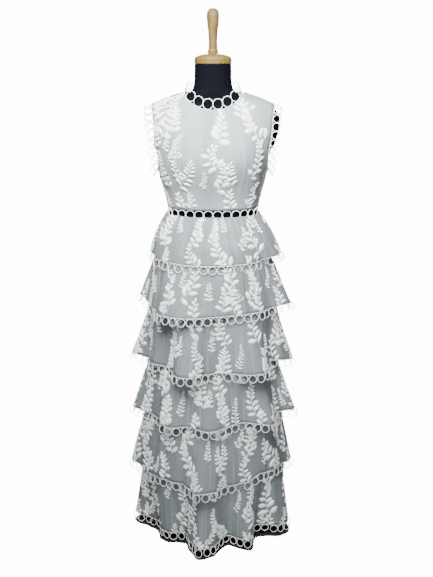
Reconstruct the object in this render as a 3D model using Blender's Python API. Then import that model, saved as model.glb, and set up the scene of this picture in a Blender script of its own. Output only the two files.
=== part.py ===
"""A sleeveless tiered maxi dress with ring-lace trims, worn by a limbless dress form on a stand.

The dress is fitted to the waist, where a band of ring lace joins the bodice to the skirt.
The skirt is a plain base with six flared tiers, each edged with the same ring lace.
Ring lace also stands up round the neck and out from both armholes.
The front faces -Y, the wearer's left is at +X, and the stand rests on the floor at Z = 0.
"""

import math
from collections import namedtuple

import bmesh
import bpy
from mathutils import Vector

MM = 0.001

# Cloth: thickness of its walls, the gap at a seam, and the air between layers
WALL = 2.0 * MM
BASE_WALL = 1.5 * MM
SEAM = 0.4 * MM
SEAM_CLEARANCE = 1.25 * MM
TIER_CLEARANCE = 1.5 * MM
UNDER_CLEARANCE = 2.5 * MM

# Heights of the bodice's edges above the floor
SHOULDER_TIP = 1.425
NECK_SIDE = 1.461
NECK_FRONT = 1.407
NECK_BACK = 1.455
UNDERARM = 1.215
BODICE_EDGE = 1.105
SKIRT_EDGE = 1.086

# The body of the dress from the waist to the neck: the cloth's outer face in level sections
Section = namedtuple("Section", "height half_width front back")
BODY = (
    Section(1.080, 0.1440, 0.108, 0.096),
    Section(1.120, 0.1490, 0.113, 0.098),
    Section(1.165, 0.1620, 0.124, 0.102),
    Section(1.215, 0.1740, 0.139, 0.108),
    Section(1.253, 0.1780, 0.146, 0.113),
    Section(1.293, 0.1870, 0.141, 0.117),
    Section(1.341, 0.1990, 0.125, 0.117),
    Section(1.385, 0.2030, 0.098, 0.107),
    Section(1.410, 0.2010, 0.080, 0.094),
    Section(1.425, 0.1900, 0.073, 0.085),
    Section(1.439, 0.1630, 0.068, 0.077),
    Section(1.452, 0.1270, 0.064, 0.070),
    Section(1.461, 0.0880, 0.060, 0.064),
)
BODY_SQUARENESS = 2.2
Bust = namedtuple("Bust", "height across spread_across spread_up fullness")
BUST = Bust(1.262, 0.083, 0.042, 0.045, 0.010)

NECK_HALF_WIDTH = 0.088
ARMHOLE_DEPTH = {"front": 0.056, "back": 0.050}
SHOULDER_COLUMNS = 2
SIDE_SEAM_ROWS = 4

# Ring lace: rings on each edge of a quarter of the bodice, and the lace's height
NECK_RINGS = 5
ARMHOLE_RINGS = 10
WAIST_RINGS = 7
NECK_LACE = 33 * MM
NECK_LEAN_ACROSS = 0.90
NECK_LEAN_DEPTH = 0.96
ARMHOLE_LACE = 28 * MM
# How the armhole lace stands out: shares of its direction below the arm, half way up and at the tip
Lean = namedtuple("Lean", "low middle high")
ARM_OUT = Lean(0.40, 0.55, 0.85)
ARM_DROOP = Lean(0.92, 0.0, 0.50)
ARM_SPREAD = 0.10
HEM_LACE = 27 * MM
RING_PITCH = 26.5 * MM
SCALLOP = 0.20

# The hole in one ring: half its width as a share of the ring's pitch, and where its top, shoulders and
# foot are as shares of the lace's height from the sewn edge
Hole = namedtuple("Hole", "half_width sewn_middle sewn_side free_side free_middle")
RING_HOLE = Hole(0.34, 0.11, 0.30, 0.70, 0.89)
ARCH_HOLE = Hole(0.33, 0.19, 0.42, 0.88, 0.90)

# The plain base skirt under the tiers, its outer face
BASE = (
    Section(1.086, 0.1432, 0.1074, 0.0954),
    Section(1.035, 0.1570, 0.126, 0.120),
    Section(0.970, 0.1740, 0.152, 0.150),
    Section(0.817, 0.1960, 0.184, 0.184),
    Section(0.633, 0.2000, 0.188, 0.190),
    Section(0.453, 0.2130, 0.198, 0.202),
    Section(0.2540, 0.2350, 0.2075, 0.2155),
)
BASE_COLUMNS = 40

# Tiers: the height of each one's seam and hem, its rows as shares of the way down, how slowly it flares,
# and its folds. A fold is a crest and the trough after it, by their angles from the front towards +X,
# their reach from the upright axis at the hem, and how far they lift the hem. The back folds are even.
Fold = namedtuple("Fold", "crest reach lift trough trough_reach trough_lift")
Knot = namedtuple("Knot", "angle reach lift")
Tier = namedtuple("Tier", "seam hem rows flare back_folds back_reach back_trough folds")
TIERS = (
    Tier(
        1.086, 0.9395, (0.0, 0.34, 0.68, 1.0), 1.0, 3, 0.200, 0.186,
        (
            Fold(-97, 0.210, 0.010, -84, 0.194, 0.006),
            Fold(-70, 0.203, 0.004, -50, 0.181, 0.002),
            Fold(-22, 0.176, 0.000, 12, 0.168, 0.000),
            Fold(34, 0.179, 0.001, 54, 0.186, 0.004),
            Fold(79, 0.226, 0.018, 103, 0.197, 0.008),
        ),
    ),
    Tier(
        0.970, 0.7865, (0.0, 0.37, 1.0), 1.25, 3, 0.245, 0.210,
        (
            Fold(-91, 0.246, 0.022, -75, 0.214, 0.006),
            Fold(-32, 0.256, 0.000, 14, 0.204, 0.000),
            Fold(44, 0.219, 0.002, 56, 0.216, 0.004),
            Fold(75, 0.264, 0.010, 98, 0.220, 0.006),
        ),
    ),
    Tier(
        0.817, 0.6025, (0.0, 0.33, 1.0), 1.25, 4, 0.262, 0.214,
        (
            Fold(-93, 0.279, 0.000, -76, 0.214, 0.000),
            Fold(-58, 0.228, 0.004, -46, 0.209, 0.004),
            Fold(-21, 0.275, 0.000, 5, 0.200, 0.000),
            Fold(37, 0.267, 0.000, 60, 0.216, 0.010),
            Fold(80, 0.270, 0.000, 100, 0.222, 0.004),
        ),
    ),
    Tier(
        0.633, 0.4225, (0.0, 0.33, 1.0), 1.25, 4, 0.268, 0.218,
        (
            Fold(-87, 0.274, 0.000, -59, 0.215, 0.004),
            Fold(-34, 0.257, 0.000, -19, 0.223, 0.000),
            Fold(-4, 0.251, 0.000, 26, 0.207, 0.010),
            Fold(46, 0.272, 0.000, 62, 0.228, 0.012),
            Fold(79, 0.281, 0.004, 101, 0.226, 0.004),
        ),
    ),
    Tier(
        0.453, 0.2245, (0.0, 0.31, 1.0), 1.20, 4, 0.274, 0.228,
        (
            Fold(-91, 0.284, 0.000, -60, 0.224, 0.002),
            Fold(-34, 0.240, 0.004, -25, 0.236, 0.004),
            Fold(-10, 0.289, 0.000, 17, 0.214, 0.000),
            Fold(29, 0.226, 0.004, 41, 0.219, 0.024),
            Fold(54, 0.240, 0.018, 67, 0.228, 0.018),
            Fold(91, 0.270, 0.000, 112, 0.234, 0.004),
        ),
    ),
    Tier(
        0.255, 0.0345, (0.0, 0.32, 1.0), 1.15, 4, 0.276, 0.234,
        (
            Fold(-88, 0.272, 0.000, -63, 0.206, 0.000),
            Fold(-43, 0.228, 0.000, -27, 0.200, 0.002),
            Fold(-9, 0.292, 0.000, 14, 0.196, 0.000),
            Fold(28, 0.256, 0.000, 45, 0.196, 0.010),
            Fold(67, 0.274, 0.002, 92, 0.240, 0.004),
        ),
    ),
)
COLUMN_WIDTH = 8.5
BACK_UNEVEN = 0.22

# The dress form: its torso below the waist, its neck, and how far it stays inside the cloth
FORM_EASE = 6.5 * MM
FORM_COLUMNS = 30
FORM_HIPS = (
    Section(0.800, 0.158, 0.102, 0.112),
    Section(0.840, 0.166, 0.108, 0.120),
    Section(0.900, 0.168, 0.110, 0.124),
    Section(0.960, 0.163, 0.108, 0.116),
    Section(1.030, 0.148, 0.102, 0.100),
)
FORM_BODY_HEIGHTS = (1.086, 1.125, 1.170, 1.215, 1.255, 1.295, 1.340, 1.383, 1.405, 1.420, 1.433, 1.445)
FORM_NECK = (
    Section(1.458, 0.0720, 0.0570, 0.0590),
    Section(1.472, 0.0620, 0.0560, 0.0575),
    Section(1.495, 0.0580, 0.0560, 0.0570),
    Section(1.544, 0.0575, 0.0575, 0.0575),
)
SHOULDER_DROP = 7.0 * MM
SHOULDER_EASE = (1.330, 1.400)
ARM_CUT = 0.186
# How far the flat end of each arm stands out beyond the cut, at its middle
Stump = namedtuple("Stump", "height left right")
ARM_STUMPS = (
    Stump(1.215, 0.000, 0.000),
    Stump(1.255, 0.001, 0.000),
    Stump(1.295, 0.016, 0.010),
    Stump(1.340, 0.024, 0.000),
    Stump(1.383, 0.026, -0.004),
    Stump(1.405, 0.012, -0.004),
    Stump(1.420, 0.000, 0.000),
)
STUMP_SHARPNESS = 24
HIP_SQUARENESS = 2.1
NECK_SQUARENESS = 2.0

# The wooden cap and finial and the stand, as radius and height of each ring of the turned outline
NECK_TOP = 1.544
CAP = (
    (0.0000, 0.0000), (0.0560, 0.0000), (0.0580, 0.0020), (0.0580, 0.0150), (0.0545, 0.0215),
    (0.0420, 0.0270), (0.0220, 0.0305), (0.0000, 0.0310),
)
CAP_HEIGHT = 0.031
FINIAL = (
    (0.0000, 0.0000), (0.0160, 0.0000), (0.0165, 0.0080), (0.0138, 0.0150), (0.0132, 0.0380),
    (0.0150, 0.0660), (0.0182, 0.0930), (0.0196, 0.1120), (0.0180, 0.1255), (0.0110, 0.1335),
    (0.0000, 0.1360),
)
POLE_RADIUS = 0.0175
FOOT = (
    (0.0000, 0.0000), (0.1530, 0.0000), (0.1550, 0.0020), (0.1550, 0.0150), (0.1490, 0.0210),
    (0.0340, 0.0240), (0.0300, 0.0280), (0.0300, 0.0520), (0.0280, 0.0550), (0.0000, 0.0550),
)
FOOT_TOP = 0.055
STAND_GAP = 0.3 * MM
FOOT_STEPS = 32
TURN_STEPS = 20

COLLECTION = "tiered_dress"
Finish = namedtuple("Finish", "name colour roughness")
NAVY_JERSEY = Finish("navy_jersey", (0.011, 0.016, 0.027, 1.0), 0.85)
PALE_WOOD = Finish("pale_wood", (0.52, 0.42, 0.22, 1.0), 0.45)
BLACK_ENAMEL = Finish("black_enamel", (0.02, 0.02, 0.02, 1.0), 0.4)
SPRIGGED_TULLE = Finish("sprigged_tulle", (0.52, 0.57, 0.58, 1.0), 0.7)
RING_LACE = Finish("ring_lace", (0.80, 0.83, 0.84, 1.0), 0.75)
LINING = Finish("underskirt_lining", (0.42, 0.46, 0.47, 1.0), 0.75)


def smooth(rows, column, height):
    """One column of a table of sections at any height, on a curve that never overshoots its rows."""
    rows = sorted(rows)
    heights = [row.height for row in rows]
    values = [getattr(row, column) for row in rows]
    if height <= heights[0]:
        return values[0]
    if height >= heights[-1]:
        return values[-1]
    k = max(i for i in range(len(rows) - 1) if heights[i] <= height)
    slopes = [(values[i + 1] - values[i]) / (heights[i + 1] - heights[i]) for i in range(len(rows) - 1)]

    def tangent(i):
        if i == 0:
            return slopes[0]
        if i == len(rows) - 1:
            return slopes[-1]
        if slopes[i - 1] * slopes[i] <= 0:
            return 0.0
        return 2 * slopes[i - 1] * slopes[i] / (slopes[i - 1] + slopes[i])

    step = heights[k + 1] - heights[k]
    t = (height - heights[k]) / step
    value = values[k] * (2 * t**3 - 3 * t**2 + 1)
    value += values[k + 1] * (3 * t**2 - 2 * t**3)
    value += tangent(k) * step * (t**3 - 2 * t**2 + t)
    value += tangent(k + 1) * step * (t**3 - t**2)
    return value


def rounded(share, squareness):
    """How deep a section is at that share of its half width: 1 in the middle, 0 at the side."""
    return max(0.0, 1 - min(1.0, abs(share)) ** squareness) ** (1 / squareness)


def on_body(x, height, side, inset=0.0):
    """The point of the body at x and that height, on its front or its back."""
    half = smooth(BODY, "half_width", height) - inset
    depth = (smooth(BODY, side, height) - inset) * rounded(x / half, BODY_SQUARENESS)
    if side == "front":
        across = (abs(x) - BUST.across) / BUST.spread_across
        up = (height - BUST.height) / BUST.spread_up
        depth += BUST.fullness * math.exp(-(across**2 + up**2) / 2) * rounded(x / half, 4)
        depth = -depth
    return Vector((x, depth, height))


def shoulder_height(x):
    """The height of the shoulder ridge at x, where the body has narrowed to x."""
    low, high = SHOULDER_TIP, NECK_SIDE
    for _ in range(40):
        middle = (low + high) / 2
        if smooth(BODY, "half_width", middle) > x:
            low = middle
        else:
            high = middle
    return low


def evenly(curve, count, samples=400):
    """Points on a curve that cut it into count pieces of equal length."""
    points = [curve(i / samples) for i in range(samples + 1)]
    return along(points, [i / count for i in range(count + 1)])


def along(points, shares):
    """The points at those shares of the length of a line through points."""
    lengths = [0.0]
    for a, b in zip(points, points[1:]):
        lengths.append(lengths[-1] + (b - a).length)
    found = []
    for share in shares:
        goal = min(max(share, 0.0), 1.0) * lengths[-1]
        k = max(i for i in range(len(points) - 1) if lengths[i] <= goal or i == 0)
        t = (goal - lengths[k]) / (lengths[k + 1] - lengths[k])
        found.append(points[k].lerp(points[k + 1], min(max(t, 0.0), 1.0)))
    return found


def neckline(side):
    """The neckline from the middle to the shoulder seam, one point for each end of a ring."""
    lowest = NECK_FRONT if side == "front" else NECK_BACK

    def curve(share):
        turn = math.pi / 2 * share
        height = NECK_SIDE - (NECK_SIDE - lowest) * math.cos(turn)
        return on_body(NECK_HALF_WIDTH * math.sin(turn), height, side)

    return evenly(curve, NECK_RINGS)


def armhole(side):
    """The armhole's edge from the underarm to the shoulder tip, one point for each end of a ring."""
    middle = (UNDERARM + SHOULDER_TIP) / 2
    half_height = (SHOULDER_TIP - UNDERARM) / 2

    def curve(share):
        height = middle - half_height * math.cos(math.pi * share)
        depth = ARMHOLE_DEPTH[side] * math.sin(math.pi * share)
        half = smooth(BODY, "half_width", height)
        return on_body(half * rounded(depth / smooth(BODY, side, height), BODY_SQUARENESS), height, side)

    return evenly(curve, ARMHOLE_RINGS)


def waist_line(side, height):
    """A level line round a quarter of the body from the middle to the side seam, a point a ring end."""
    half = smooth(BODY, "half_width", height)
    return evenly(lambda share: on_body(half * math.sin(math.pi / 2 * share), height, side), WAIST_RINGS)


def shoulder_seam():
    """The shoulder seam from the neckline to the shoulder tip."""
    tip = smooth(BODY, "half_width", SHOULDER_TIP)
    found = []
    for i in range(1, SHOULDER_COLUMNS + 1):
        x = NECK_HALF_WIDTH + (tip - NECK_HALF_WIDTH) * i / SHOULDER_COLUMNS
        found.append(Vector((x, 0.0, shoulder_height(x))))
    return found


def half_bodice(side):
    """Columns of points of half a bodice panel, from the middle outwards, each from the waist upwards.

    The four edges are set first, so that the lace's rings meet them. The points between are spread
    evenly from the edges and laid on the body.
    """
    top = neckline(side) + shoulder_seam()
    waist = waist_line(side, BODICE_EDGE)
    outer = []
    for i in range(SIDE_SEAM_ROWS):
        height = BODICE_EDGE + (UNDERARM - BODICE_EDGE) * i / SIDE_SEAM_ROWS
        outer.append(Vector((smooth(BODY, "half_width", height), 0.0, height)))
    outer += armhole(side)
    last = len(top) - 1
    grid = []
    for i in range(last + 1):
        column = []
        for edge in outer:
            up = (edge.z - BODICE_EDGE) / (SHOULDER_TIP - BODICE_EDGE)
            height = BODICE_EDGE + up * (top[i].z - BODICE_EDGE)
            x = (1 - up) * waist[i].x + up * top[i].x
            x += i / last * (edge.x - (1 - up) * waist[-1].x - up * top[-1].x)
            x = min(x, 0.995 * smooth(BODY, "half_width", height))
            column.append(on_body(x, height, side))
        column[0] = waist[i]
        column[-1] = top[i]
        grid.append(column)
    grid[-1] = outer
    return grid


def mirrored(points):
    return [Vector((-p.x, p.y, p.z)) for p in points]


def across_from(points):
    """A line from the middle outwards, carried across the middle to the other side."""
    return mirrored(points)[:0:-1] + points


def level_away(centre):
    return Vector((centre.x, centre.y, 0.0))


def keep_side(axis, sign):
    """Keeps a piece's points on its own side of a seam that lies in the plane of two axes."""

    def keep(co):
        if co[axis] * sign < SEAM / 2:
            co[axis] = sign * SEAM / 2

    return keep


def cloth(name, bm, thickness, finish, away=level_away, keep=None):
    """Turns an open surface into a wall whose thickness lies on its inner side."""
    bm.normal_update()
    if sum(face.normal.dot(away(face.calc_center_median())) for face in bm.faces) < 0:
        bmesh.ops.reverse_faces(bm, faces=bm.faces)
    bmesh.ops.solidify(bm, geom=bm.faces, thickness=thickness)
    if keep:
        for vert in bm.verts:
            keep(vert.co)
    return solid(name, bm, finish)


def solid(name, bm, finish):
    """Makes the object of a closed mesh, with all its faces pointing out."""
    bmesh.ops.recalc_face_normals(bm, faces=bm.faces)
    mesh = bpy.data.meshes.new(name)
    bm.to_mesh(mesh)
    bm.free()
    obj = bpy.data.objects.new(name, mesh)
    bpy.data.collections[COLLECTION].objects.link(obj)
    mesh.materials.append(painted(finish))
    mesh.shade_smooth()
    mesh.set_sharp_from_angle(angle=math.radians(40))
    return obj


def painted(finish):
    """The Principled material of one finish, made the first time that it is asked for."""
    made = bpy.data.materials.get(finish.name)
    if made:
        return made
    made = bpy.data.materials.new(finish.name)
    made.use_nodes = True
    shader = made.node_tree.nodes["Principled BSDF"]
    shader.inputs["Base Color"].default_value = finish.colour
    shader.inputs["Roughness"].default_value = finish.roughness
    shader.inputs["Metallic"].default_value = 0.0
    return made


def surface(columns, closed=False):
    """An open surface through columns of points. A closed one runs round to its first column."""
    if closed:
        columns = columns + [columns[0]]
    bm = bmesh.new()
    wide = len(columns) - 1
    high = len(columns[0]) - 1
    bmesh.ops.create_grid(bm, x_segments=wide, y_segments=high, size=1)
    for vert in bm.verts:
        i = round((vert.co.x + 1) / 2 * wide)
        j = round((vert.co.y + 1) / 2 * high)
        vert.co = columns[i][j]
    if closed:
        bmesh.ops.remove_doubles(bm, verts=bm.verts, dist=0.01 * MM)
    return bm


def with_middles(points):
    """Adds the point halfway between each point and the next."""
    found = [points[0]]
    for a, b in zip(points, points[1:]):
        found += [(a + b) / 2, b]
    return found


def ring_lace(name, sewn, free, hole, scallop, away=level_away, keep=None):
    """A strip of joined rings between two edges, each given by the ends and the middle of every ring.

    The strip is cut flat, one hole a ring, then bent between the edges and given its thickness.
    """
    bm = bmesh.new()
    halves = len(sewn) - 1
    bmesh.ops.create_grid(bm, x_segments=halves, y_segments=1, size=1)
    for vert in bm.verts:
        vert.co = ((vert.co.x + 1) / 2 * halves, (vert.co.y + 1) / 2, 0.0)
    middles = [e for e in bm.edges if all(round(v.co.x) % 2 == 1 for v in e.verts)]
    bmesh.ops.dissolve_edges(bm, edges=middles)
    inset = bmesh.ops.inset_individual(bm, faces=bm.faces, thickness=0.1)
    outer = set(inset["faces"])
    for face in [f for f in bm.faces if f not in outer]:
        centre = face.calc_center_median().x
        for vert in face.verts:
            middle = abs(vert.co.x - centre) < 0.3
            if vert.co.y < 0.5:
                share = hole.sewn_middle if middle else hole.sewn_side
            else:
                share = hole.free_middle if middle else hole.free_side
            side = 0.0 if middle else math.copysign(2 * hole.half_width, vert.co.x - centre)
            vert.co = (centre + side, share, 0.0)
        bmesh.ops.delete(bm, geom=[face], context="FACES_ONLY")
    for vert in bm.verts:
        k = min(int(vert.co.x + 1e-4), halves - 1)
        t = vert.co.x - k
        if vert.co.y > 0.999 and round(vert.co.x) % 2 == 0:
            vert.co.y = 1 - scallop
        edge = sewn[k].lerp(sewn[k + 1], t)
        vert.co = edge.lerp(free[k].lerp(free[k + 1], t), vert.co.y)
    return cloth(name, bm, WALL, RING_LACE, away, keep)


def bodice():
    """The front panel, and two back panels that meet at the closure in the middle of the back."""
    half = half_bodice("front")
    whole = [mirrored(column) for column in half[:0:-1]] + half
    cloth("bodice_front", surface(whole), WALL, SPRIGGED_TULLE, keep=keep_side(1, -1))
    half = half_bodice("back")
    for name, columns, sign in (
        ("bodice_back_left", half, 1),
        ("bodice_back_right", [mirrored(column) for column in half], -1),
    ):
        behind_side_seam = keep_side(1, 1)
        beside_closure = keep_side(0, sign)

        def keep(co):
            behind_side_seam(co)
            beside_closure(co)

        cloth(name, surface(columns), WALL, SPRIGGED_TULLE, keep=keep)


def neck_trim():
    """Ring lace that stands up round the neck and leans in a little at the sides."""
    for side, sign in (("front", -1), ("back", 1)):
        sewn = []
        free = []
        for p in with_middles(across_from(neckline(side))):
            lean = Vector((p.x * (NECK_LEAN_ACROSS - 1), p.y * (NECK_LEAN_DEPTH - 1), 0.0))
            way = lean + Vector((0.0, 0.0, math.sqrt(NECK_LACE**2 - lean.length_squared)))
            sewn.append(p + way.normalized() * SEAM)
            free.append(p + way)
        ring_lace("neck_trim_" + side, sewn, free, RING_HOLE, SCALLOP, keep=keep_side(1, sign))


def armhole_way(t, sign):
    """The way the lace of an armhole stands out, from 0 below the arm to 1 at the shoulder tip."""
    middle = math.sin(math.pi * t)
    out = ARM_OUT.low + ARM_OUT.middle * middle + (ARM_OUT.high - ARM_OUT.low) * t
    droop = ARM_DROOP.low * (1 - t) ** 2 + ARM_DROOP.high * t**2
    return Vector((out, sign * ARM_SPREAD * middle, -droop)).normalized()


def armhole_trims():
    """Ring lace that stands out from each armhole, and droops below the arm and at the shoulder tip."""
    for hand, flip in (("left", 1), ("right", -1)):
        for side, sign in (("front", -1), ("back", 1)):
            edge = with_middles(armhole(side))
            ways = [armhole_way(i / (len(edge) - 1), sign) for i in range(len(edge))]
            sewn = [p + way * SEAM for p, way in zip(edge, ways)]
            free = [p + way * ARMHOLE_LACE for p, way in zip(edge, ways)]
            if flip < 0:
                sewn, free = mirrored(sewn), mirrored(free)
            middle_height = (UNDERARM + SHOULDER_TIP) / 2
            ring_lace(
                f"armhole_trim_{hand}_{side}", sewn, free, RING_HOLE, SCALLOP,
                away=lambda middle: Vector((0.0, middle.y, middle.z - middle_height)),
                keep=keep_side(1, sign),
            )


def waist_trim():
    """The band of ring lace between bodice and skirt, with the foot of each ring behind the skirt."""
    for side, sign in (("front", -1), ("back", 1)):
        sewn = with_middles(across_from(waist_line(side, BODICE_EDGE)))
        free = with_middles(across_from(waist_line(side, SKIRT_EDGE)))
        sewn = [p - Vector((0.0, 0.0, SEAM)) for p in sewn]
        free = [p + Vector((0.0, 0.0, SEAM)) for p in free]
        ring_lace("waist_trim_" + side, sewn, free, ARCH_HOLE, 0.0, keep=keep_side(1, sign))


def at_angle(angle, radius, height):
    """A point by its angle in degrees from the front towards +X."""
    turn = math.radians(angle)
    return Vector((radius * math.sin(turn), -radius * math.cos(turn), height))


def straight(rows, column, height):
    """One column of a table at any height, on straight lines between its rows from the top down."""
    for a, b in zip(rows, rows[1:]):
        if height >= b.height:
            t = max(0.0, (a.height - height) / (a.height - b.height))
            return getattr(a, column) + (getattr(b, column) - getattr(a, column)) * t
    return getattr(rows[-1], column)


def base_radius(angle, height):
    """The base skirt's outer face. Below its edge it counts as going straight down."""
    turn = math.radians(angle)
    depth = straight(BASE, "front" if math.cos(turn) > 0 else "back", height)
    half = straight(BASE, "half_width", height)
    power = BODY_SQUARENESS
    return (abs(math.sin(turn) / half) ** power + abs(math.cos(turn) / depth) ** power) ** (-1 / power)


def knots(tier):
    """All the crests and troughs of a tier in order, those of the back spread in what the front leaves."""
    found = []
    for fold in tier.folds:
        found.append(Knot(fold.crest, fold.reach, fold.lift))
        found.append(Knot(fold.trough, fold.trough_reach, fold.trough_lift))
    start = found[-1].angle
    end = found[0].angle + 360
    steps = 2 * tier.back_folds + 1
    for k in range(1, steps):
        drift = BACK_UNEVEN * math.sin(2.4 * k + 40 * tier.hem)
        reach = tier.back_reach if k % 2 else tier.back_trough
        reach *= 1 + 0.03 * math.sin(3.7 * k + 25 * tier.hem)
        found.append(Knot(start + (end - start) * (k + drift) / steps, reach, 0.0))
    return found


def hem_at(tier, angle):
    """Reach and lift of a tier's hem at any angle, on a smooth wave from each crest to the next trough."""
    ring = knots(tier)
    ring.append(ring[0]._replace(angle=ring[0].angle + 360))
    angle = (angle - ring[0].angle) % 360 + ring[0].angle
    for a, b in zip(ring, ring[1:]):
        if angle <= b.angle:
            t = (1 - math.cos(math.pi * (angle - a.angle) / (b.angle - a.angle))) / 2
            return a.reach + (b.reach - a.reach) * t, a.lift + (b.lift - a.lift) * t
    return ring[0].reach, ring[0].lift


def column_angles(tier):
    """The angles of a tier's columns, with one on each crest and trough."""
    ring = knots(tier)
    ring.append(ring[0]._replace(angle=ring[0].angle + 360))
    found = []
    for a, b in zip(ring, ring[1:]):
        count = max(2, round((b.angle - a.angle) / COLUMN_WIDTH))
        found += [a.angle + (b.angle - a.angle) * i / count for i in range(count)]
    return found


def tier_row(number, angle, share):
    """Radius and height of a tier's outer face at that share of the way down, clear of what is inside."""
    tier = TIERS[number]
    reach, lift = hem_at(tier, angle)
    drop = tier.seam - tier.hem - lift
    height = tier.seam - drop * share
    sewn = base_radius(angle, height) + SEAM_CLEARANCE + WALL
    if share == 0:
        return sewn, height
    radius = sewn + (reach - sewn) * (share * drop / (drop + HEM_LACE / 2)) ** tier.flare
    radius = max(radius, inside(number, angle, height))
    if share == 1 and number + 1 < len(TIERS):
        radius = max(radius, over_next_seam(number, angle, height))
    return radius, height


def over_next_seam(number, angle, hem):
    """The least radius of a hem that carries the tier clear over the top edge of the next tier."""
    above, high = tier_row(number, angle, TIERS[number].rows[-2])
    seam = TIERS[number + 1].seam
    needed = base_radius(angle, seam) + TIER_CLEARANCE + UNDER_CLEARANCE + 2 * WALL
    return above + (needed - above) * (high - hem) / (high - seam)


def inside(number, angle, height):
    """The least radius at which a tier's outer face clears the base skirt and the next tier."""
    least = 0.0
    if height >= BASE[-1].height:
        least = base_radius(angle, height) + TIER_CLEARANCE + WALL
    if number + 1 < len(TIERS) and height <= TIERS[number + 1].seam:
        least = max(least, tier_radius(number + 1, angle, height) + UNDER_CLEARANCE + WALL)
    return least


def tier_radius(number, angle, height):
    """A tier's radius at a height, on the straight lines between its rows."""
    rows = [tier_row(number, angle, share) for share in TIERS[number].rows]
    for (r1, h1), (r2, h2) in zip(rows, rows[1:]):
        if height >= h2:
            return r1 + (r2 - r1) * (h1 - height) / (h1 - h2)
    return rows[-1][0]


def lace_foot(number, angle):
    """Radius and height of the free edge of a tier's lace, which carries on the tier's own slope."""
    (r1, h1), (r2, h2) = (tier_row(number, angle, share) for share in TIERS[number].rows[-2:])
    slope = (r2 - r1) / (h1 - h2)
    height = h2 - HEM_LACE / math.hypot(1, slope)
    return max(r2 + slope * (h2 - height), inside(number, angle, height)), height


def tiers():
    """Six flared tiers round the base skirt, each with its lace below it."""
    for number, tier in enumerate(TIERS):
        angles = column_angles(tier)
        columns = [[at_angle(a, *tier_row(number, a, share)) for share in tier.rows] for a in angles]
        cloth(f"tier_{number + 1}", surface(columns, closed=True), WALL, SPRIGGED_TULLE)
        hem = [column[-1] for column in columns]
        foot = [at_angle(a, *lace_foot(number, a)) for a in angles]
        if number + 1 < len(TIERS):
            strip = [[p + (q - p).normalized() * SEAM, q] for p, q in zip(hem, foot)]
            cloth(f"hem_trim_{number + 1}", surface(strip, closed=True), WALL, RING_LACE)
        else:
            joins = [angles.index(fold.trough) for fold in (tier.folds[0], tier.folds[-1])]
            last_hem_trim(number + 1, hem, foot, joins)


def last_hem_trim(number, hem, foot, joins):
    """The lowest lace, cut through, in a front and a back half that meet in two troughs."""
    hem = [p + (q - p).normalized() * 2 * SEAM for p, q in zip(hem, foot)]
    first, second = joins
    for side, start, end in (("front", first, second), ("back", second, first + len(hem))):
        edges = [[line[i % len(line)] for i in range(start, end + 1)] for line in (hem, foot)]
        length = sum((b - a).length for a, b in zip(edges[0], edges[0][1:]))
        halves = 2 * round(length / RING_PITCH)
        shares = [i / halves for i in range(halves + 1)]
        shares[0] = SEAM / length
        shares[-1] = 1 - SEAM / length
        sewn, free = (along(line, shares) for line in edges)
        ring_lace(f"hem_trim_{number}_{side}", sewn, free, RING_HOLE, SCALLOP)


def base_skirt():
    """The plain skirt that the tiers are sewn to. Its own edge is hidden inside the lowest tier."""
    columns = []
    for i in range(BASE_COLUMNS):
        angle = 360 * i / BASE_COLUMNS
        columns.append([at_angle(angle, base_radius(angle, s.height), s.height) for s in BASE])
    cloth("base_skirt", surface(columns, closed=True), BASE_WALL, LINING)


def section_ring(section, squareness):
    """One level ring of the dress form below or above the bodice."""
    ring = []
    for i in range(FORM_COLUMNS):
        turn = 2 * math.pi * i / FORM_COLUMNS
        share = math.sin(turn)
        depth = (section.front if math.cos(turn) > 0 else section.back) * rounded(share, squareness)
        depth = -math.copysign(depth, math.cos(turn))
        ring.append(Vector((section.half_width * share, depth, section.height)))
    return ring


def form_body_ring(height):
    """One level ring of the form inside the bodice, smaller than the cloth and lower at the shoulders."""
    low, high = SHOULDER_EASE
    drop = SHOULDER_DROP * min(1.0, max(0.0, (height - low) / (high - low)))
    inset = WALL + FORM_EASE
    above = height + drop
    half = smooth(BODY, "half_width", above) - inset
    ring = []
    for i in range(FORM_COLUMNS):
        turn = 2 * math.pi * i / FORM_COLUMNS
        side = "front" if math.cos(turn) > 0 else "back"
        point = on_body(half * math.sin(turn), above, side, inset)
        hand = "left" if point.x > 0 else "right"
        stump = smooth(ARM_STUMPS, hand, height) * abs(math.sin(turn)) ** STUMP_SHARPNESS
        point.x = math.copysign(min(ARM_CUT, abs(point.x)) + stump, point.x)
        point.z = height
        ring.append(point)
    return ring


def dress_form():
    """The covered torso and neck, closed flat below the hips and at the top of the neck."""
    rings = [section_ring(s, HIP_SQUARENESS) for s in FORM_HIPS]
    rings += [form_body_ring(height) for height in FORM_BODY_HEIGHTS]
    rings += [section_ring(s, NECK_SQUARENESS) for s in FORM_NECK]
    columns = [list(column) for column in zip(*rings)]
    bm = surface(columns, closed=True)
    bmesh.ops.holes_fill(bm, edges=[e for e in bm.edges if e.is_boundary], sides=0)
    solid("form_torso", bm, NAVY_JERSEY)


def turned(name, outline, height, steps, finish):
    """A solid turned round the upright axis from an outline that starts and ends on it."""
    bm = bmesh.new()
    verts = [bm.verts.new((radius, 0.0, height + up)) for radius, up in outline]
    edges = [bm.edges.new(pair) for pair in zip(verts, verts[1:])]
    bmesh.ops.spin(
        bm, geom=verts + edges, cent=(0, 0, 0), axis=(0, 0, 1),
        angle=2 * math.pi, steps=steps, use_merge=True,
    )
    bmesh.ops.remove_doubles(bm, verts=bm.verts, dist=0.01 * MM)
    return solid(name, bm, finish)


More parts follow.
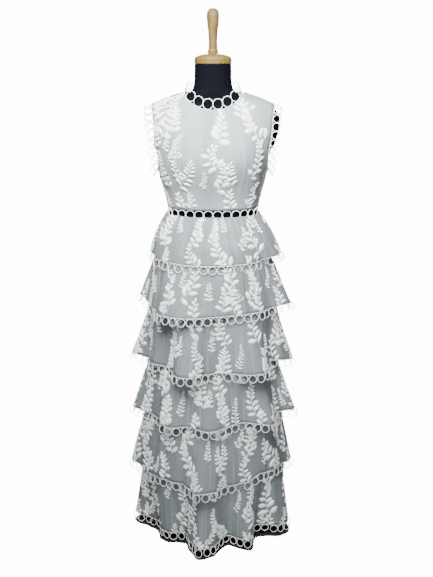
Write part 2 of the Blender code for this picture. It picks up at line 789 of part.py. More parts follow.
def stand():
    """Wooden cap and finial above the neck, pole and foot below the torso."""
    turned("neck_cap", CAP, NECK_TOP + STAND_GAP, TURN_STEPS, PALE_WOOD)
    turned("finial", FINIAL, NECK_TOP + CAP_HEIGHT + 2 * STAND_GAP, TURN_STEPS, PALE_WOOD)
    turned("stand_foot", FOOT, 0.0, FOOT_STEPS, BLACK_ENAMEL)
    low = FOOT_TOP + STAND_GAP
    high = FORM_HIPS[0].height - STAND_GAP
    pole = ((0.0, 0.0), (POLE_RADIUS, 0.0), (POLE_RADIUS, high - low), (0.0, high - low))
    turned("stand_pole", pole, low, TURN_STEPS, BLACK_ENAMEL)


def main():
    for obj in list(bpy.data.objects):
        bpy.data.objects.remove(obj)
    bpy.context.scene.collection.children.link(bpy.data.collections.new(COLLECTION))
    bodice()
    neck_trim()
    armhole_trims()
    waist_trim()
    base_skirt()
    tiers()
    dress_form()
    stand()


main()
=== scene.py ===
# %% [markdown]
# # A tiered dress on a dress form
#
# A maker builds this dress from the inside out: a fitted bodice, a plain base skirt, six flared tiers
# sewn round that skirt one above another, and a lace of small corded rings along every edge.
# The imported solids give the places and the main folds. Here each piece of cloth gets its own
# smooth sheet, its embroidery and its thread, and the stand gets its finishes.

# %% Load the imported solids
import math
import random
from bisect import bisect_right
from collections import namedtuple

import bmesh
import bpy
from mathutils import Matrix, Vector
from mathutils.bvhtree import BVHTree


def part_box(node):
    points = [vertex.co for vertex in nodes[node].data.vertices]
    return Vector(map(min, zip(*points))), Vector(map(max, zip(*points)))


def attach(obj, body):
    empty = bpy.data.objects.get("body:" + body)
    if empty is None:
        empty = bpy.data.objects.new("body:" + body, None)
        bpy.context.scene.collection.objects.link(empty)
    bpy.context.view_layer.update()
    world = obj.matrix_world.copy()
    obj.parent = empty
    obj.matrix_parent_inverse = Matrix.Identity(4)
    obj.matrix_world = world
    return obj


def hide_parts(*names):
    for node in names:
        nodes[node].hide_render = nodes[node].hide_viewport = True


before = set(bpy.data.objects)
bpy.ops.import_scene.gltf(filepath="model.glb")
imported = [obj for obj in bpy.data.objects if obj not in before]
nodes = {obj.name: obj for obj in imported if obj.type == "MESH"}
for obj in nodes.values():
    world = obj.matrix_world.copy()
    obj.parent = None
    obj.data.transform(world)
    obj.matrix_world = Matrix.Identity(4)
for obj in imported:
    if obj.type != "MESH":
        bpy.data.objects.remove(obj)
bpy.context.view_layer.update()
MM = 0.001
print("nodes", len(nodes))

# %% [markdown]
# The camera comes first, so that every later render can be laid beside the photograph.
# It stands 2.9 m in front of the dress at eye height and looks down by about 14 degrees, which is
# what makes the hems curve downwards.

# %% Camera
IMAGE_HEIGHT = 577
FOCAL_PIXELS = 906.5
SENSOR = 36.0
CAMERA_PLACE = (0.011, -2.9, 1.544)
CAMERA_DIP = 13.9

camera_data = bpy.data.cameras.new("camera")
camera_data.sensor_width = SENSOR
camera_data.lens = FOCAL_PIXELS * SENSOR / IMAGE_HEIGHT
camera = bpy.data.objects.new("camera", camera_data)
camera.location = CAMERA_PLACE
camera.rotation_euler = (math.radians(90 - CAMERA_DIP), 0, 0)
bpy.context.scene.collection.objects.link(camera)
bpy.context.scene.camera = camera
print("lens", round(camera_data.lens, 2))

# %% [markdown]
# The dress stands before a white wall, in a room that is dim on the camera's side, so that the folds
# keep their shade. The wall is part of the world and fills a cone of directions behind the dress.
# A large lamp close above and in front lights the bodice most and the hem least, as a ceiling light
# does in a shop. A weaker one on the right opens the shadows, and a wide one low in front stands for
# the light that the floor throws back.

# %% Lights
def lamp(name, place, aim, size, spread, power):
    """A square area lamp turned to its aim. Its spread is in degrees and its power in watts."""
    data = bpy.data.lights.new(name, "AREA")
    data.shape = "SQUARE"
    data.size = size
    data.spread = math.radians(spread)
    data.energy = power
    made = bpy.data.objects.new(name, data)
    made.location = place
    made.rotation_euler = (Vector(aim) - Vector(place)).to_track_quat("-Z", "Y").to_euler()
    bpy.context.scene.collection.objects.link(made)
    return made


lamp("key", place=(-0.15, -1.30, 2.45), aim=(0, 0, 1.35), size=0.6, spread=75, power=41)
lamp("fill", place=(2.3, -1.7, 1.3), aim=(0, 0, 0.8), size=1.2, spread=180, power=5)
lamp("bounce", place=(0.3, -2.4, 0.15), aim=(0, 0, 0.45), size=1.6, spread=150, power=21)

# The wall's cone: the way that the camera looks, the cosine of its half angle, and its soft edge
WALL_WAY = (0.0, 0.9707, -0.2402)
WALL_COSINE = 0.915
WALL_EDGE = 0.01
COOL = 1.03


def room(name, around, wall, strength):
    """A world with one pale wall behind the dress, and dim all round it."""
    made = bpy.data.worlds.new(name)
    made.use_nodes = True
    tree = made.node_tree
    place = tree.nodes.new("ShaderNodeTexCoord")
    toward = tree.nodes.new("ShaderNodeVectorMath")
    toward.operation = "DOT_PRODUCT"
    toward.inputs[1].default_value = WALL_WAY
    share = tree.nodes.new("ShaderNodeMapRange")
    share.inputs["From Min"].default_value = WALL_COSINE
    share.inputs["From Max"].default_value = WALL_COSINE + WALL_EDGE
    colour = tree.nodes.new("ShaderNodeMix")
    colour.data_type = "RGBA"
    colour.inputs[6].default_value = (around, around, around * COOL, 1.0)
    colour.inputs[7].default_value = (wall, wall, wall, 1.0)
    sky = tree.nodes["Background"]
    sky.inputs["Strength"].default_value = strength
    tree.links.new(place.outputs["Generated"], toward.inputs[0])
    tree.links.new(toward.outputs["Value"], share.inputs["Value"])
    tree.links.new(share.outputs["Result"], colour.inputs[0])
    tree.links.new(colour.outputs[2], sky.inputs["Color"])
    return made


bpy.context.scene.world = room("white_wall", around=0.020, wall=1.5, strength=9.5)
print("the wall's cone is", round(2 * math.degrees(math.acos(WALL_COSINE)), 1), "degrees wide")

# %% [markdown]
# Shader maths reads best as sums. One small class wraps a socket, so that `weave * 0.4 + dust * 0.6`
# adds the Math nodes by itself, and one method adds any other node with its settings and inputs.

# %% A wrapper for shader maths
class Value:
    """A node's output socket that can stand in a sum."""

    def __init__(self, finish, socket):
        self.finish = finish
        self.socket = socket

    def _math(self, operation, first, second):
        return self.finish.node("ShaderNodeMath", {"operation": operation}, {0: first, 1: second})

    def __add__(self, other):
        return self._math("ADD", self, other)

    def __mul__(self, other):
        return self._math("MULTIPLY", self, other)

    __radd__ = __add__
    __rmul__ = __mul__


class Finish:
    """A material and the nodes that make it."""

    def __init__(self, name, roughness, **constants):
        self.material = bpy.data.materials.new(name)
        self.material.use_nodes = True
        self.tree = self.material.node_tree
        self.shader = self.tree.nodes["Principled BSDF"]
        self.shader.inputs["Roughness"].default_value = roughness
        for socket, value in constants.items():
            self.shader.inputs[socket.replace("_", " ")].default_value = value

    def node(self, kind, settings=None, inputs=None, output=0):
        made = self.tree.nodes.new(kind)
        for key, value in (settings or {}).items():
            setattr(made, key, value)
        for key, value in (inputs or {}).items():
            if isinstance(value, Value):
                self.tree.links.new(value.socket, made.inputs[key])
            else:
                made.inputs[key].default_value = value
        return Value(self, made.outputs[output])

    def coordinates(self, output, scale=(1, 1, 1), turn=(0, 0, 0)):
        place = self.node("ShaderNodeTexCoord", output=output)
        return self.node(
            "ShaderNodeMapping", inputs={"Vector": place, "Scale": scale, "Rotation": turn}
        )

    def noise(self, vector, scale, detail=3.0, roughness=0.55):
        return self.node(
            "ShaderNodeTexNoise",
            inputs={"Vector": vector, "Scale": scale, "Detail": detail, "Roughness": roughness},
        )

    def between(self, value, low, high, to_low=0.0, to_high=1.0):
        return self.node(
            "ShaderNodeMapRange",
            inputs={"Value": value, "From Min": low, "From Max": high, "To Min": to_low, "To Max": to_high},
        )

    def mix(self, share, first, second):
        return self.node(
            "ShaderNodeMix", {"data_type": "RGBA"}, {0: share, 6: first, 7: second}, output=2
        )

    def bump(self, height, strength, distance):
        return self.node(
            "ShaderNodeBump", inputs={"Height": height, "Strength": strength, "Distance": distance}
        )

    def feed(self, **values):
        for socket, value in values.items():
            self.tree.links.new(value.socket, self.shader.inputs[socket.replace("_", " ")])
        return self.material


print("shader maths ready")

# %% [markdown]
# The ground cloth is silver-grey satin under white net. The net's meshes are about a millimetre and
# a half, so they come from Voronoi cells on the cloth's own UV map, which is in metres. Long soft
# creases and a slow mottle keep the satin from looking like paper. On the lower tiers, shade is
# painted for the first few centimetres below the seam, where the frill above shades the cloth: the net
# thins there, so the darker satin shows.

# %% Net over satin
# The painted shade under a frill: how far below the seam it reaches, its soft edge, and the share of net left
# in it
FRILL_SHADE_DEPTH = 0.056
FRILL_SHADE_EDGE = 0.012
NET_IN_FRILL_SHADE = 0.25
THREAD_SHARE = 0.42
PLEAT_SHARE = 0.30
SHADE_SWING = 0.13


def net_over_satin(name, ground, net, tiered=False):
    """Satin of one colour under net of another. On a lower tier, shade under the frill is painted by thinning
    the net just below the seam.
    """
    cloth = Finish(name, 0.55, Specular_IOR_Level=0.3)
    uv = cloth.coordinates("UV")
    cells = cloth.node(
        "ShaderNodeTexVoronoi",
        {"feature": "DISTANCE_TO_EDGE", "voronoi_dimensions": "2D"},
        {"Vector": uv, "Scale": 640.0, "Randomness": 0.45},
    )
    thread = cloth.between(cells, 0.05, 0.16, 1.0, 0.0)
    net_left_by_painted_shade = 1.0
    # Painted shade: the net thins just below the seam, so the satin shows darker under the frill above
    if tiered:
        height = cloth.node("ShaderNodeSeparateXYZ", inputs={0: uv}, output=1)
        net_left_by_painted_shade = cloth.between(height, -FRILL_SHADE_DEPTH - FRILL_SHADE_EDGE, -FRILL_SHADE_DEPTH, 1.0, NET_IN_FRILL_SHADE)
    weave = cloth.noise(cloth.coordinates("UV", (900, 90, 1)), 1.0, 2.0)
    mottle = cloth.noise(uv, 9.0, 3.0)
    crease = cloth.noise(cloth.coordinates("UV", (34, 5, 1)), 1.0, 4.0)
    shade = cloth.between(mottle * 0.6 + crease * 0.4, 0.35, 0.65)
    light = tuple(c * (1 + SHADE_SWING) for c in ground) + (1.0,)
    dark = tuple(c * (1 - SHADE_SWING) for c in ground) + (1.0,)
    satin = cloth.mix(shade, dark, light)
    colour = cloth.mix(thread * THREAD_SHARE * net_left_by_painted_shade, satin, net + (1.0,))
    gather = cloth.noise(cloth.coordinates("UV", (150, 2.2, 1)), 1.0, 1.0)
    pleat = cloth.between(gather, 0.56, 0.70)
    colour = cloth.mix(pleat * PLEAT_SHARE * net_left_by_painted_shade, colour, net + (1.0,))
    relief = crease + pleat * 0.35 + weave * 0.03 + thread * 0.06
    return cloth.feed(
        Base_Color=colour,
        Roughness=cloth.between(thread * 0.6 + weave * 0.4, 0.0, 1.0, 0.42, 0.74),
        Normal=cloth.bump(relief, 0.55, 0.0035),
    )


bodice_cloth = net_over_satin("bodice_net_over_satin", (0.178, 0.206, 0.216), (0.48, 0.52, 0.535))
SKIRT_GROUND, SKIRT_NET = (0.108, 0.127, 0.133), (0.36, 0.395, 0.41)
top_tier_net = net_over_satin("top_tier_net_over_satin", SKIRT_GROUND, SKIRT_NET)
# The lower tiers carry the painted shade below their seams
lower_tier_painted_shade_net = net_over_satin("lower_tier_net_over_satin_painted_shade", SKIRT_GROUND, SKIRT_NET, tiered=True)
lining_cloth = net_over_satin("underskirt_satin", (0.14, 0.155, 0.160), (0.18, 0.19, 0.20))
print("cloths", [cloth.name for cloth in (bodice_cloth, top_tier_net, lower_tier_painted_shade_net, lining_cloth)])

# %% [markdown]
# The embroidery and the lace are white thread. Satin stitch lies in close parallel rows, so a fine
# wave across each leaf's own UV map raises them, and the lace's cord gets a twist in the same way.

# %% White threads
def stitched(name, colour, rows, slant, roughness):
    """White thread in parallel rows: so many a metre of the UV map, slanted by an angle."""
    thread = Finish(name, roughness)
    uv = thread.coordinates("UV", turn=(0, 0, slant))
    wave = thread.node(
        "ShaderNodeTexWave",
        {"wave_type": "BANDS", "bands_direction": "Y"},
        {"Vector": uv, "Scale": rows, "Distortion": 1.2, "Detail": 1.0},
        output=1,
    )
    mottle = thread.noise(thread.coordinates("Object"), 60.0, 2.0)
    dark = tuple(c * 0.84 for c in colour) + (1.0,)
    shade = thread.between(wave * 0.7 + mottle * 0.3, 0.1, 0.8)
    return thread.feed(
        Base_Color=thread.mix(shade, dark, colour + (1.0,)),
        Roughness=thread.between(wave, 0.0, 1.0, roughness + 0.12, roughness - 0.08),
        Normal=thread.bump(wave, 0.5, 0.0005),
    )


leaf_thread = stitched("leaf_satin_stitch", (0.84, 0.865, 0.875), 320.0, 0.6, 0.5)
ring_thread = stitched("ring_cord", (0.80, 0.825, 0.83), 260.0, 0.7, 0.6)
print("threads", leaf_thread.name, ring_thread.name)

# %% [markdown]
# The form is covered in navy jersey, drawn tight. Jersey shows fine upright ribs and a little lint.
# The cap and the finial are turned from a pale wood with a thin dull varnish, and the stand is black
# enamel. The floor below the hem is dark and rough, and its darkness is partly painted shade under the skirt.

# %% Jersey, wood and enamel
def jersey(name):
    """Fine ribbed knit, almost black."""
    knit = Finish(name, 0.88, Specular_IOR_Level=0.05)
    place = knit.coordinates("Object")
    ribs = knit.noise(knit.coordinates("Object", (1300, 1300, 420)), 1.0, 2.0)
    lint = knit.noise(place, 420.0, 4.0, 0.7)
    shade = knit.between(ribs * 0.6 + lint * 0.4, 0.35, 0.7)
    return knit.feed(
        Base_Color=knit.mix(shade, (0.0008, 0.0012, 0.0021, 1.0), (0.0021, 0.0030, 0.0052, 1.0)),
        Roughness=knit.between(ribs, 0.3, 0.7, 0.95, 0.8),
        Normal=knit.bump(ribs, 0.5, 0.0006),
    )


def turned_wood(name, light, dark, ring_scale):
    """Dull varnished wood with year rings and pores."""
    wood = Finish(name, 0.5, Coat_Weight=0.04, Coat_Roughness=0.35, Specular_IOR_Level=0.25)
    rings = wood.noise(wood.coordinates("Object", (70, 70, ring_scale)), 1.0, 5.0, 0.6)
    pores = wood.noise(wood.coordinates("Object", (900, 900, 60)), 1.0, 3.0)
    shade = wood.between(rings * 0.8 + pores * 0.2, 0.33, 0.66)
    return wood.feed(
        Base_Color=wood.mix(shade, dark + (1.0,), light + (1.0,)),
        Roughness=wood.between(pores, 0.3, 0.7, 0.65, 0.45),
        Normal=wood.bump(rings * 0.4 + pores * 0.6, 0.25, 0.0006),
    )


def enamel(name):
    """Black enamel with a little dust on it."""
    paint = Finish(name, 0.35, Coat_Weight=0.3)
    orange_peel = paint.noise(paint.coordinates("Object"), 380.0, 2.0)
    dust = paint.noise(paint.coordinates("Object"), 24.0, 5.0, 0.7)
    return paint.feed(
        Base_Color=paint.mix(
            paint.between(dust, 0.5, 0.75), (0.012, 0.012, 0.013, 1.0), (0.05, 0.05, 0.052, 1.0)
        ),
        Roughness=paint.between(dust, 0.4, 0.7, 0.28, 0.5),
        Normal=paint.bump(orange_peel, 0.2, 0.0004),
    )


def dark_floor_and_painted_shade(name):
    """The rough dark floor that shows below the hem. Its dark colour is partly painted shade under the skirt.
    """
    floor = Finish(name, 0.9, Specular_IOR_Level=0.1)
    grain = floor.noise(floor.coordinates("Object"), 90.0, 4.0)
    return floor.feed(
        Base_Color=floor.mix(grain, (0.012, 0.012, 0.013, 1.0), (0.035, 0.033, 0.030, 1.0)),
        Roughness=floor.between(grain, 0.3, 0.7, 0.8, 0.95),
        Normal=floor.bump(grain, 0.3, 0.001),
    )


def dress_node(node, material):
    """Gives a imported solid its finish."""
    nodes[node].data.materials.clear()
    nodes[node].data.materials.append(material)


knit = jersey("navy_jersey_knit")
golden_wood = turned_wood("golden_turned_wood", (0.125, 0.084, 0.024), (0.068, 0.044, 0.012), 26)
dress_node("form_torso", knit)
dress_node("neck_cap", turned_wood("pale_turned_wood", (0.125, 0.084, 0.018), (0.080, 0.053, 0.010), 260))
dress_node("finial", golden_wood)
stand_paint = enamel("black_stand_enamel")
dress_node("stand_pole", stand_paint)
dress_node("stand_foot", stand_paint)
print("finishes ready")

# %% [markdown]
# Every new piece is finished in the same way. Its mesh becomes an object at the origin, it rides on
# the one body there is, and the solids that it stands for are hidden. A few helpers do this for all
# pieces.

# %% New objects
def new_object(name, bm, material, smooth=True):
    """Makes the object of a finished mesh at the origin."""
    mesh = bpy.data.meshes.new(name)
    bm.to_mesh(mesh)
    bm.free()
    made = bpy.data.objects.new(name, mesh)
    bpy.context.scene.collection.objects.link(made)
    mesh.materials.append(material)
    if smooth:
        mesh.shade_smooth()
    return made


def settle(made, slot, *replaced):
    """Fixes a piece to the root body and hides the solids that it stands for. The slot is not used."""
    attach(made, "root")
    if replaced:
        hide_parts(*replaced)
    return made


def keep_shape(bm, name):
    """A mesh that is modelled once and set many times."""
    shape = bpy.data.meshes.new(name)
    bm.to_mesh(shape)
    bm.free()
    print(name, "has", len(shape.polygons), "faces")
    return shape


def outward(point):
    """The level direction from the stand's axis to a point."""
    return Vector((point.x, point.y, 0)).normalized()


def write_uv(bm, place):
    """A UV map whose every point is worked out from the vertex that it belongs to."""
    layer = bm.loops.layers.uv.new("UVMap")
    for face in bm.faces:
        for loop in face.loops:
            loop[layer].uv = place(loop.vert.co)


print("helpers ready")

# %% [markdown]
# The jersey is turned over the top of the neck and lies flat under the wooden cap, and the finial
# ends in a dowel that goes into the cap. Each is a short disc, because only its edge can be seen,
# and it closes the narrow gap through which the bright wall would shine.

# %% Under the cap and the finial
NECK_TOP, CAP_FOOT = 1.5439, 1.5444
CAP_TOP, FINIAL_FOOT = 1.5752, 1.5757
DISC_SIDES = 60


def disc(name, radius, bottom, top, material, slot):
    """A short round disc between two heights on the stand's axis."""
    bm = bmesh.new()
    bmesh.ops.create_cone(
        bm, cap_ends=True, segments=DISC_SIDES, radius1=radius, radius2=radius, depth=top - bottom
    )
    bmesh.ops.translate(bm, verts=bm.verts, vec=(0, 0, (top + bottom) / 2))
    print(name, "radius", radius, "height", round(top - bottom, 5))
    return settle(new_object(name, bm, material, smooth=False), slot)


disc("turned_over_jersey", 0.0556, NECK_TOP, CAP_FOOT, knit, "navy_jersey")
disc("finial_dowel", 0.0156, CAP_TOP, FINIAL_FOOT, golden_wood, "pale_wood")

# %% [markdown]
# A tier's packed wall is a ring of straight columns, each column a few points from the seam down to
# the hem. Reading those columns back gives the wave of the tier, and a smooth curve through them
# gives the cloth. The outer points of a wall are the ones that nothing of the wall lies outside of.

# %% Read a tier's wave from its solid
JOIN = 0.02 * MM
RIM_SLOPE = 0.75
LEAST_OUT = 0.05
RAY_START = 0.1 * MM


def angle_of(point):
    """The angle of a point round the dress, in degrees from the front towards the left hand."""
    return math.degrees(math.atan2(point.x, -point.y))


def outer_columns(node):
    """The outer face of a packed tier: for each of its columns the angle and (radius, height) down it."""
    bm = bmesh.new()
    bm.from_mesh(nodes[node].data)
    bmesh.ops.remove_doubles(bm, verts=bm.verts, dist=JOIN)
    bm.normal_update()
    tree = BVHTree.FromBMesh(bm)
    outer = set()
    for face in bm.faces:
        middle = face.calc_center_median()
        out = outward(middle)
        if abs(face.normal.z) < RIM_SLOPE and face.normal.dot(out) > LEAST_OUT:
            if tree.ray_cast(middle + out * RAY_START, out)[0] is None:
                outer.update(face.verts)
    columns = {}
    for vert in outer:
        columns.setdefault(round(angle_of(vert.co), 1), []).append(vert.co.copy())
    found = []
    for key in sorted(columns):
        points = sorted(columns[key], key=lambda p: -p.z)
        found.append((angle_of(points[0]), [(math.hypot(p.x, p.y), p.z) for p in points]))
    bm.free()
    lengths = [len(rows) for _, rows in found]
    usual = max(set(lengths), key=lengths.count)
    return [column for column in found if len(column[1]) == usual]


def eased(xs, ys, x):
    """A curve through points, flat at each crest and trough, so that it never overshoots."""
    k = min(max(sum(1 for v in xs if v <= x) - 1, 0), len(xs) - 2)
    slopes = [(ys[i + 1] - ys[i]) / (xs[i + 1] - xs[i]) for i in range(len(xs) - 1)]

    def tangent(i):
        if i == 0 or i == len(xs) - 1:
            return slopes[0] if i == 0 else slopes[-1]
        a, b = slopes[i - 1], slopes[i]
        return 0.0 if a * b <= 0 else 2 * a * b / (a + b)

    step = xs[k + 1] - xs[k]
    t = (x - xs[k]) / step
    value = ys[k] * (2 * t**3 - 3 * t**2 + 1) + ys[k + 1] * (3 * t**2 - 2 * t**3)
    return value + step * (tangent(k) * (t**3 - 2 * t**2 + t) + tangent(k + 1) * (t**3 - t**2))


class Wave:
    """The smooth outer face of one tier."""

    def __init__(self, node):
        columns = outer_columns(node)
        self.first = columns[0][0]
        # The columns once more on both sides, so that the curve runs on where the ring closes
        wrap = [(a + turn, rows) for turn in (-360, 0, 360) for a, rows in columns]
        self.angles = [a for a, _ in wrap]
        self.rows = len(columns[0][1])
        self.radii = [[rows[k][0] for _, rows in wrap] for k in range(self.rows)]
        self.heights = [[rows[k][1] for _, rows in wrap] for k in range(self.rows)]
        self.cache = {}

    def column(self, angle):
        """(radius, height) at each packed row for any angle."""
        angle = (angle - self.first) % 360 + self.first
        key = round(angle, 4)
        if key not in self.cache:
            near = sum(1 for a in self.angles if a <= angle)
            window = slice(max(near - 4, 0), near + 4)
            xs = self.angles[window]
            self.cache[key] = [
                (eased(xs, self.radii[k][window], angle), eased(xs, self.heights[k][window], angle))
                for k in range(self.rows)
            ]
        return self.cache[key]

    def at(self, angle, down):
        """A point of the tier at that share of the way from its seam, 0, to its hem, 1."""
        column = self.column(angle)
        top, foot = column[0][1], column[-1][1]
        height = top + (foot - top) * down
        depths = [top - h for _, h in column]
        radius = eased(depths, [r for r, _ in column], top - height)
        turn = math.radians(angle)
        return Vector((radius * math.sin(turn), -radius * math.cos(turn), height))

    def even_angles(self, count, down=1.0):
        """Angles that cut the tier's edge into count pieces of equal length, and that length."""
        samples = 720
        angles = [self.first + 360 * i / samples for i in range(samples + 1)]
        points = [self.at(a, down) for a in angles]
        lengths = [0.0]
        for a, b in zip(points, points[1:]):
            lengths.append(lengths[-1] + (b - a).length)
        found = []
        k = 0
        for i in range(count + 1):
            goal = lengths[-1] * i / count
            while k < samples - 1 and lengths[k + 1] < goal:
                k += 1
            t = (goal - lengths[k]) / (lengths[k + 1] - lengths[k])
            found.append(angles[k] + (angles[k + 1] - angles[k]) * t)
        return found, lengths[-1]


waves = {n: Wave(f"tier_{n}") for n in range(1, 7)}
for n, wave in waves.items():
    hem_length = wave.even_angles(4)[1]
    print("tier", n, "columns", len(wave.angles) // 3, "rows", wave.rows, "hem", round(hem_length, 3))

# %% [markdown]
# Each tier is one flared frill. A flat grid is bent round the wave, with its columns spaced evenly
# along the hem as the cloth's own threads are, and its creases are laid in from a short table
# of soft troughs and ridges for each tier, deepest near the gathers or near the hem.

# %% Creases and tiers
# A crease by the angle of its middle, how far it leans on its way down and its half width, all in
# degrees, its depth in mm, outwards above zero, and the shares of the tier's depth where it starts
# and ends
Crease = namedtuple("Crease", "angle lean width depth top foot")
CREASE_ROWS = {
    1: (
        (4, 0, 45, 7.0, 0.45, 1.0), (-78, 6, 6.3, -5.8, 0.2, 1.0), (-55, 8, 4.5, 4.6, 0.3, 1.0),
        (-30, -5, 5.4, -4.6, 0.1, 0.8), (-6, 2, 4.5, 3.7, 0.0, 0.7), (22, 5, 5.4, -4.6, 0.2, 1.0),
        (52, 10, 4.5, -6.9, 0.2, 1.0), (64, 12, 3.6, 5.5, 0.4, 1.0), (130, -5, 5.4, -5.5, 0.1, 1.0),
        (168, 4, 4.5, 4.6, 0.2, 1.0), (-150, 6, 5.4, -5.1, 0.1, 1.0), (-118, -8, 4.5, 5.1, 0.3, 1.0),
    ),
    2: (
        (-82, -6, 4.5, -6.0, 0.3, 1.0), (-56, 4, 4.5, -7.4, 0.3, 1.0), (-44, 6, 3.6, 5.5, 0.4, 1.0),
        (-8, -3, 5.4, -5.1, 0.2, 0.9), (8, 3, 3.6, 4.1, 0.3, 1.0), (33, 4, 4.5, -6.0, 0.3, 1.0),
        (62, 8, 3.6, -6.9, 0.3, 1.0), (122, 5, 4.5, -5.5, 0.2, 1.0), (146, -6, 4.5, 5.1, 0.3, 1.0),
        (-170, 3, 5.4, -5.8, 0.2, 1.0), (-126, 5, 4.5, 5.1, 0.2, 1.0),
    ),
    3: (
        (-84, -4, 3.6, -6.9, 0.3, 1.0), (-66, 3, 3.6, 6.0, 0.4, 1.0), (-36, 6, 4.5, -6.9, 0.3, 1.0),
        (-8, 4, 3.6, -6.0, 0.3, 1.0), (14, -2, 4.5, 5.1, 0.3, 1.0), (46, 4, 3.6, -6.9, 0.4, 1.0),
        (68, 5, 3.6, 5.5, 0.3, 1.0), (118, -4, 4.5, -6.0, 0.2, 1.0), (154, 4, 4.5, 5.5, 0.2, 1.0),
        (-162, 4, 4.5, -6.4, 0.2, 1.0), (-124, -5, 3.6, 5.1, 0.3, 1.0),
    ),
    4: (
        (-76, -5, 3.6, -7.4, 0.3, 1.0), (-46, 5, 3.6, 6.4, 0.3, 1.0), (-26, 3, 3.6, -6.4, 0.4, 1.0),
        (8, -3, 3.6, -5.5, 0.3, 1.0), (18, 2, 3.6, 5.1, 0.4, 1.0), (38, 4, 3.6, -6.4, 0.4, 1.0),
        (70, 3, 3.6, -6.9, 0.3, 1.0), (124, 5, 4.5, 5.5, 0.2, 1.0), (150, -5, 3.6, -6.0, 0.2, 1.0),
        (-158, 5, 4.5, 6.0, 0.2, 1.0), (-120, 4, 3.6, -5.5, 0.3, 1.0),
    ),
    5: (
        (-78, -5, 3.6, -6.9, 0.3, 1.0), (-48, 4, 3.6, 6.0, 0.3, 1.0), (-18, 4, 3.6, -6.9, 0.4, 1.0),
        (4, -4, 3.6, 6.0, 0.3, 1.0), (22, 4, 3.6, -6.0, 0.3, 1.0), (48, 5, 3.6, -6.0, 0.4, 1.0),
        (76, 4, 3.6, 6.4, 0.3, 1.0), (128, -4, 3.6, -6.0, 0.2, 1.0), (160, 4, 3.6, 5.5, 0.2, 1.0),
        (-150, 4, 3.6, -6.4, 0.2, 1.0), (-116, -5, 3.6, 5.5, 0.3, 1.0),
    ),
    6: (
        (-74, -3, 3.6, -6.9, 0.2, 1.0), (-52, 3, 3.6, 6.0, 0.3, 1.0), (-35, 2, 2.7, -6.4, 0.3, 1.0),
        (-16, 3, 3.6, -6.9, 0.3, 1.0), (3, -3, 3.6, 6.4, 0.3, 1.0), (36, 4, 3.6, -6.4, 0.3, 1.0),
        (56, 4, 3.6, 5.5, 0.3, 1.0), (80, 3, 3.6, -6.0, 0.2, 1.0), (132, -4, 3.6, 5.5, 0.2, 1.0),
        (158, 4, 3.6, -6.0, 0.2, 1.0), (-146, 4, 3.6, 5.5, 0.2, 1.0), (-118, 4, 3.6, -5.5, 0.3, 1.0),
    ),
}
CREASES = {tier: [Crease(*row) for row in rows] for tier, rows in CREASE_ROWS.items()}
CREASE_SHARPNESS = 1.8
CREASE_START = 0.35
PUCKERS = 46
PUCKER_DEPTH = 0.9 * MM
PUCKER_DRIFT = 1.7
PUCKER_FADE = 1.5
CLOTH_THICKNESS = 0.9 * MM
TIER_ROWS = 20
TIER_COLUMNS = 288
CLOTH_OUT = 0.4 * MM
SHEET_JOIN = 0.05 * MM
# Tier 1 starts this share of its depth lower, so that the lace at the waist stays open to view
TOP_TIER_LOW = 0.033


def crease_depth(tier, angle, down):
    """How far the creases and the gathers move the cloth out, in metres."""
    total = 0.0
    for c in CREASES[tier]:
        away = (angle - c.angle - c.lean * (down - 0.5) + 180) % 360 - 180
        if abs(away) < 3 * c.width and c.top < down <= c.foot:
            length = math.sin(math.pi * 0.5 * min(1.0, (down - c.top) / CREASE_START))
            total += c.depth * MM * length * math.exp(-((away / c.width) ** 2) * CREASE_SHARPNESS)
    drift = PUCKER_DRIFT * math.sin(math.radians(angle) * 5 + tier)
    gathers = math.sin(math.radians(angle) * PUCKERS + drift) * (1 - down) ** PUCKER_FADE
    return total + PUCKER_DEPTH * gathers


def bent_sheet(grid, place, size):
    """A flat grid bent into a closed ring of cloth, with the flat grid, in metres, on its UV map."""
    wide, high = grid
    bm = bmesh.new()
    bmesh.ops.create_grid(bm, x_segments=wide, y_segments=high, size=1)
    write_uv(bm, lambda co: ((co.x + 1) / 2 * size[0], -(1 - co.y) / 2 * size[1]))
    for vert in bm.verts:
        i = round((vert.co.x + 1) / 2 * wide)
        down = (1 - vert.co.y) / 2
        vert.co = place(i, down)
    bmesh.ops.remove_doubles(bm, verts=bm.verts, dist=SHEET_JOIN)
    bm.normal_update()
    middle = bm.faces[:][len(bm.faces) // 2]
    if middle.normal.dot(outward(middle.calc_center_median())) < 0:
        bmesh.ops.reverse_faces(bm, faces=bm.faces)
    return bm


def skin_area(bm):
    """The area of a sheet before it gets its thickness."""
    return sum(face.calc_area() for face in bm.faces)


def ring_cloth(name, grid, place, size, material, slot, node):
    """A closed ring of cloth in place of its solid, and its area before it gets its thickness."""
    bm = bent_sheet(grid, place, size)
    area = skin_area(bm)
    bmesh.ops.solidify(bm, geom=bm.faces, thickness=CLOTH_THICKNESS)
    made = settle(new_object(name, bm, material), slot, node)
    print(name, "hem", round(size[0], 3), "depth", round(size[1], 3), "area", round(area, 3))
    return made, area


def on_tier(n, angle, down):
    """A point of a tier's cloth, creases and gathers included."""
    low = TOP_TIER_LOW if n == 1 else 0.0
    point = waves[n].at(angle, low + (1 - low) * down)
    return point + outward(point) * (crease_depth(n, angle, down) + CLOTH_OUT)


def tier_cloth(n, material):
    """One tier's cloth, its length round the hem, its length down the front, and its area."""
    wave = waves[n]
    angles, hem = wave.even_angles(TIER_COLUMNS)
    slant = (wave.at(0, 1) - wave.at(0, 0)).length

    def place(i, down):
        return on_tier(n, angles[i % TIER_COLUMNS], down)

    grid, size = (TIER_COLUMNS, TIER_ROWS), (hem, slant)
    made, area = ring_cloth(
        f"tier_cloth_{n}", grid, place, size, material, "sprigged_tulle", f"tier_{n}"
    )
    return made, hem, slant, area


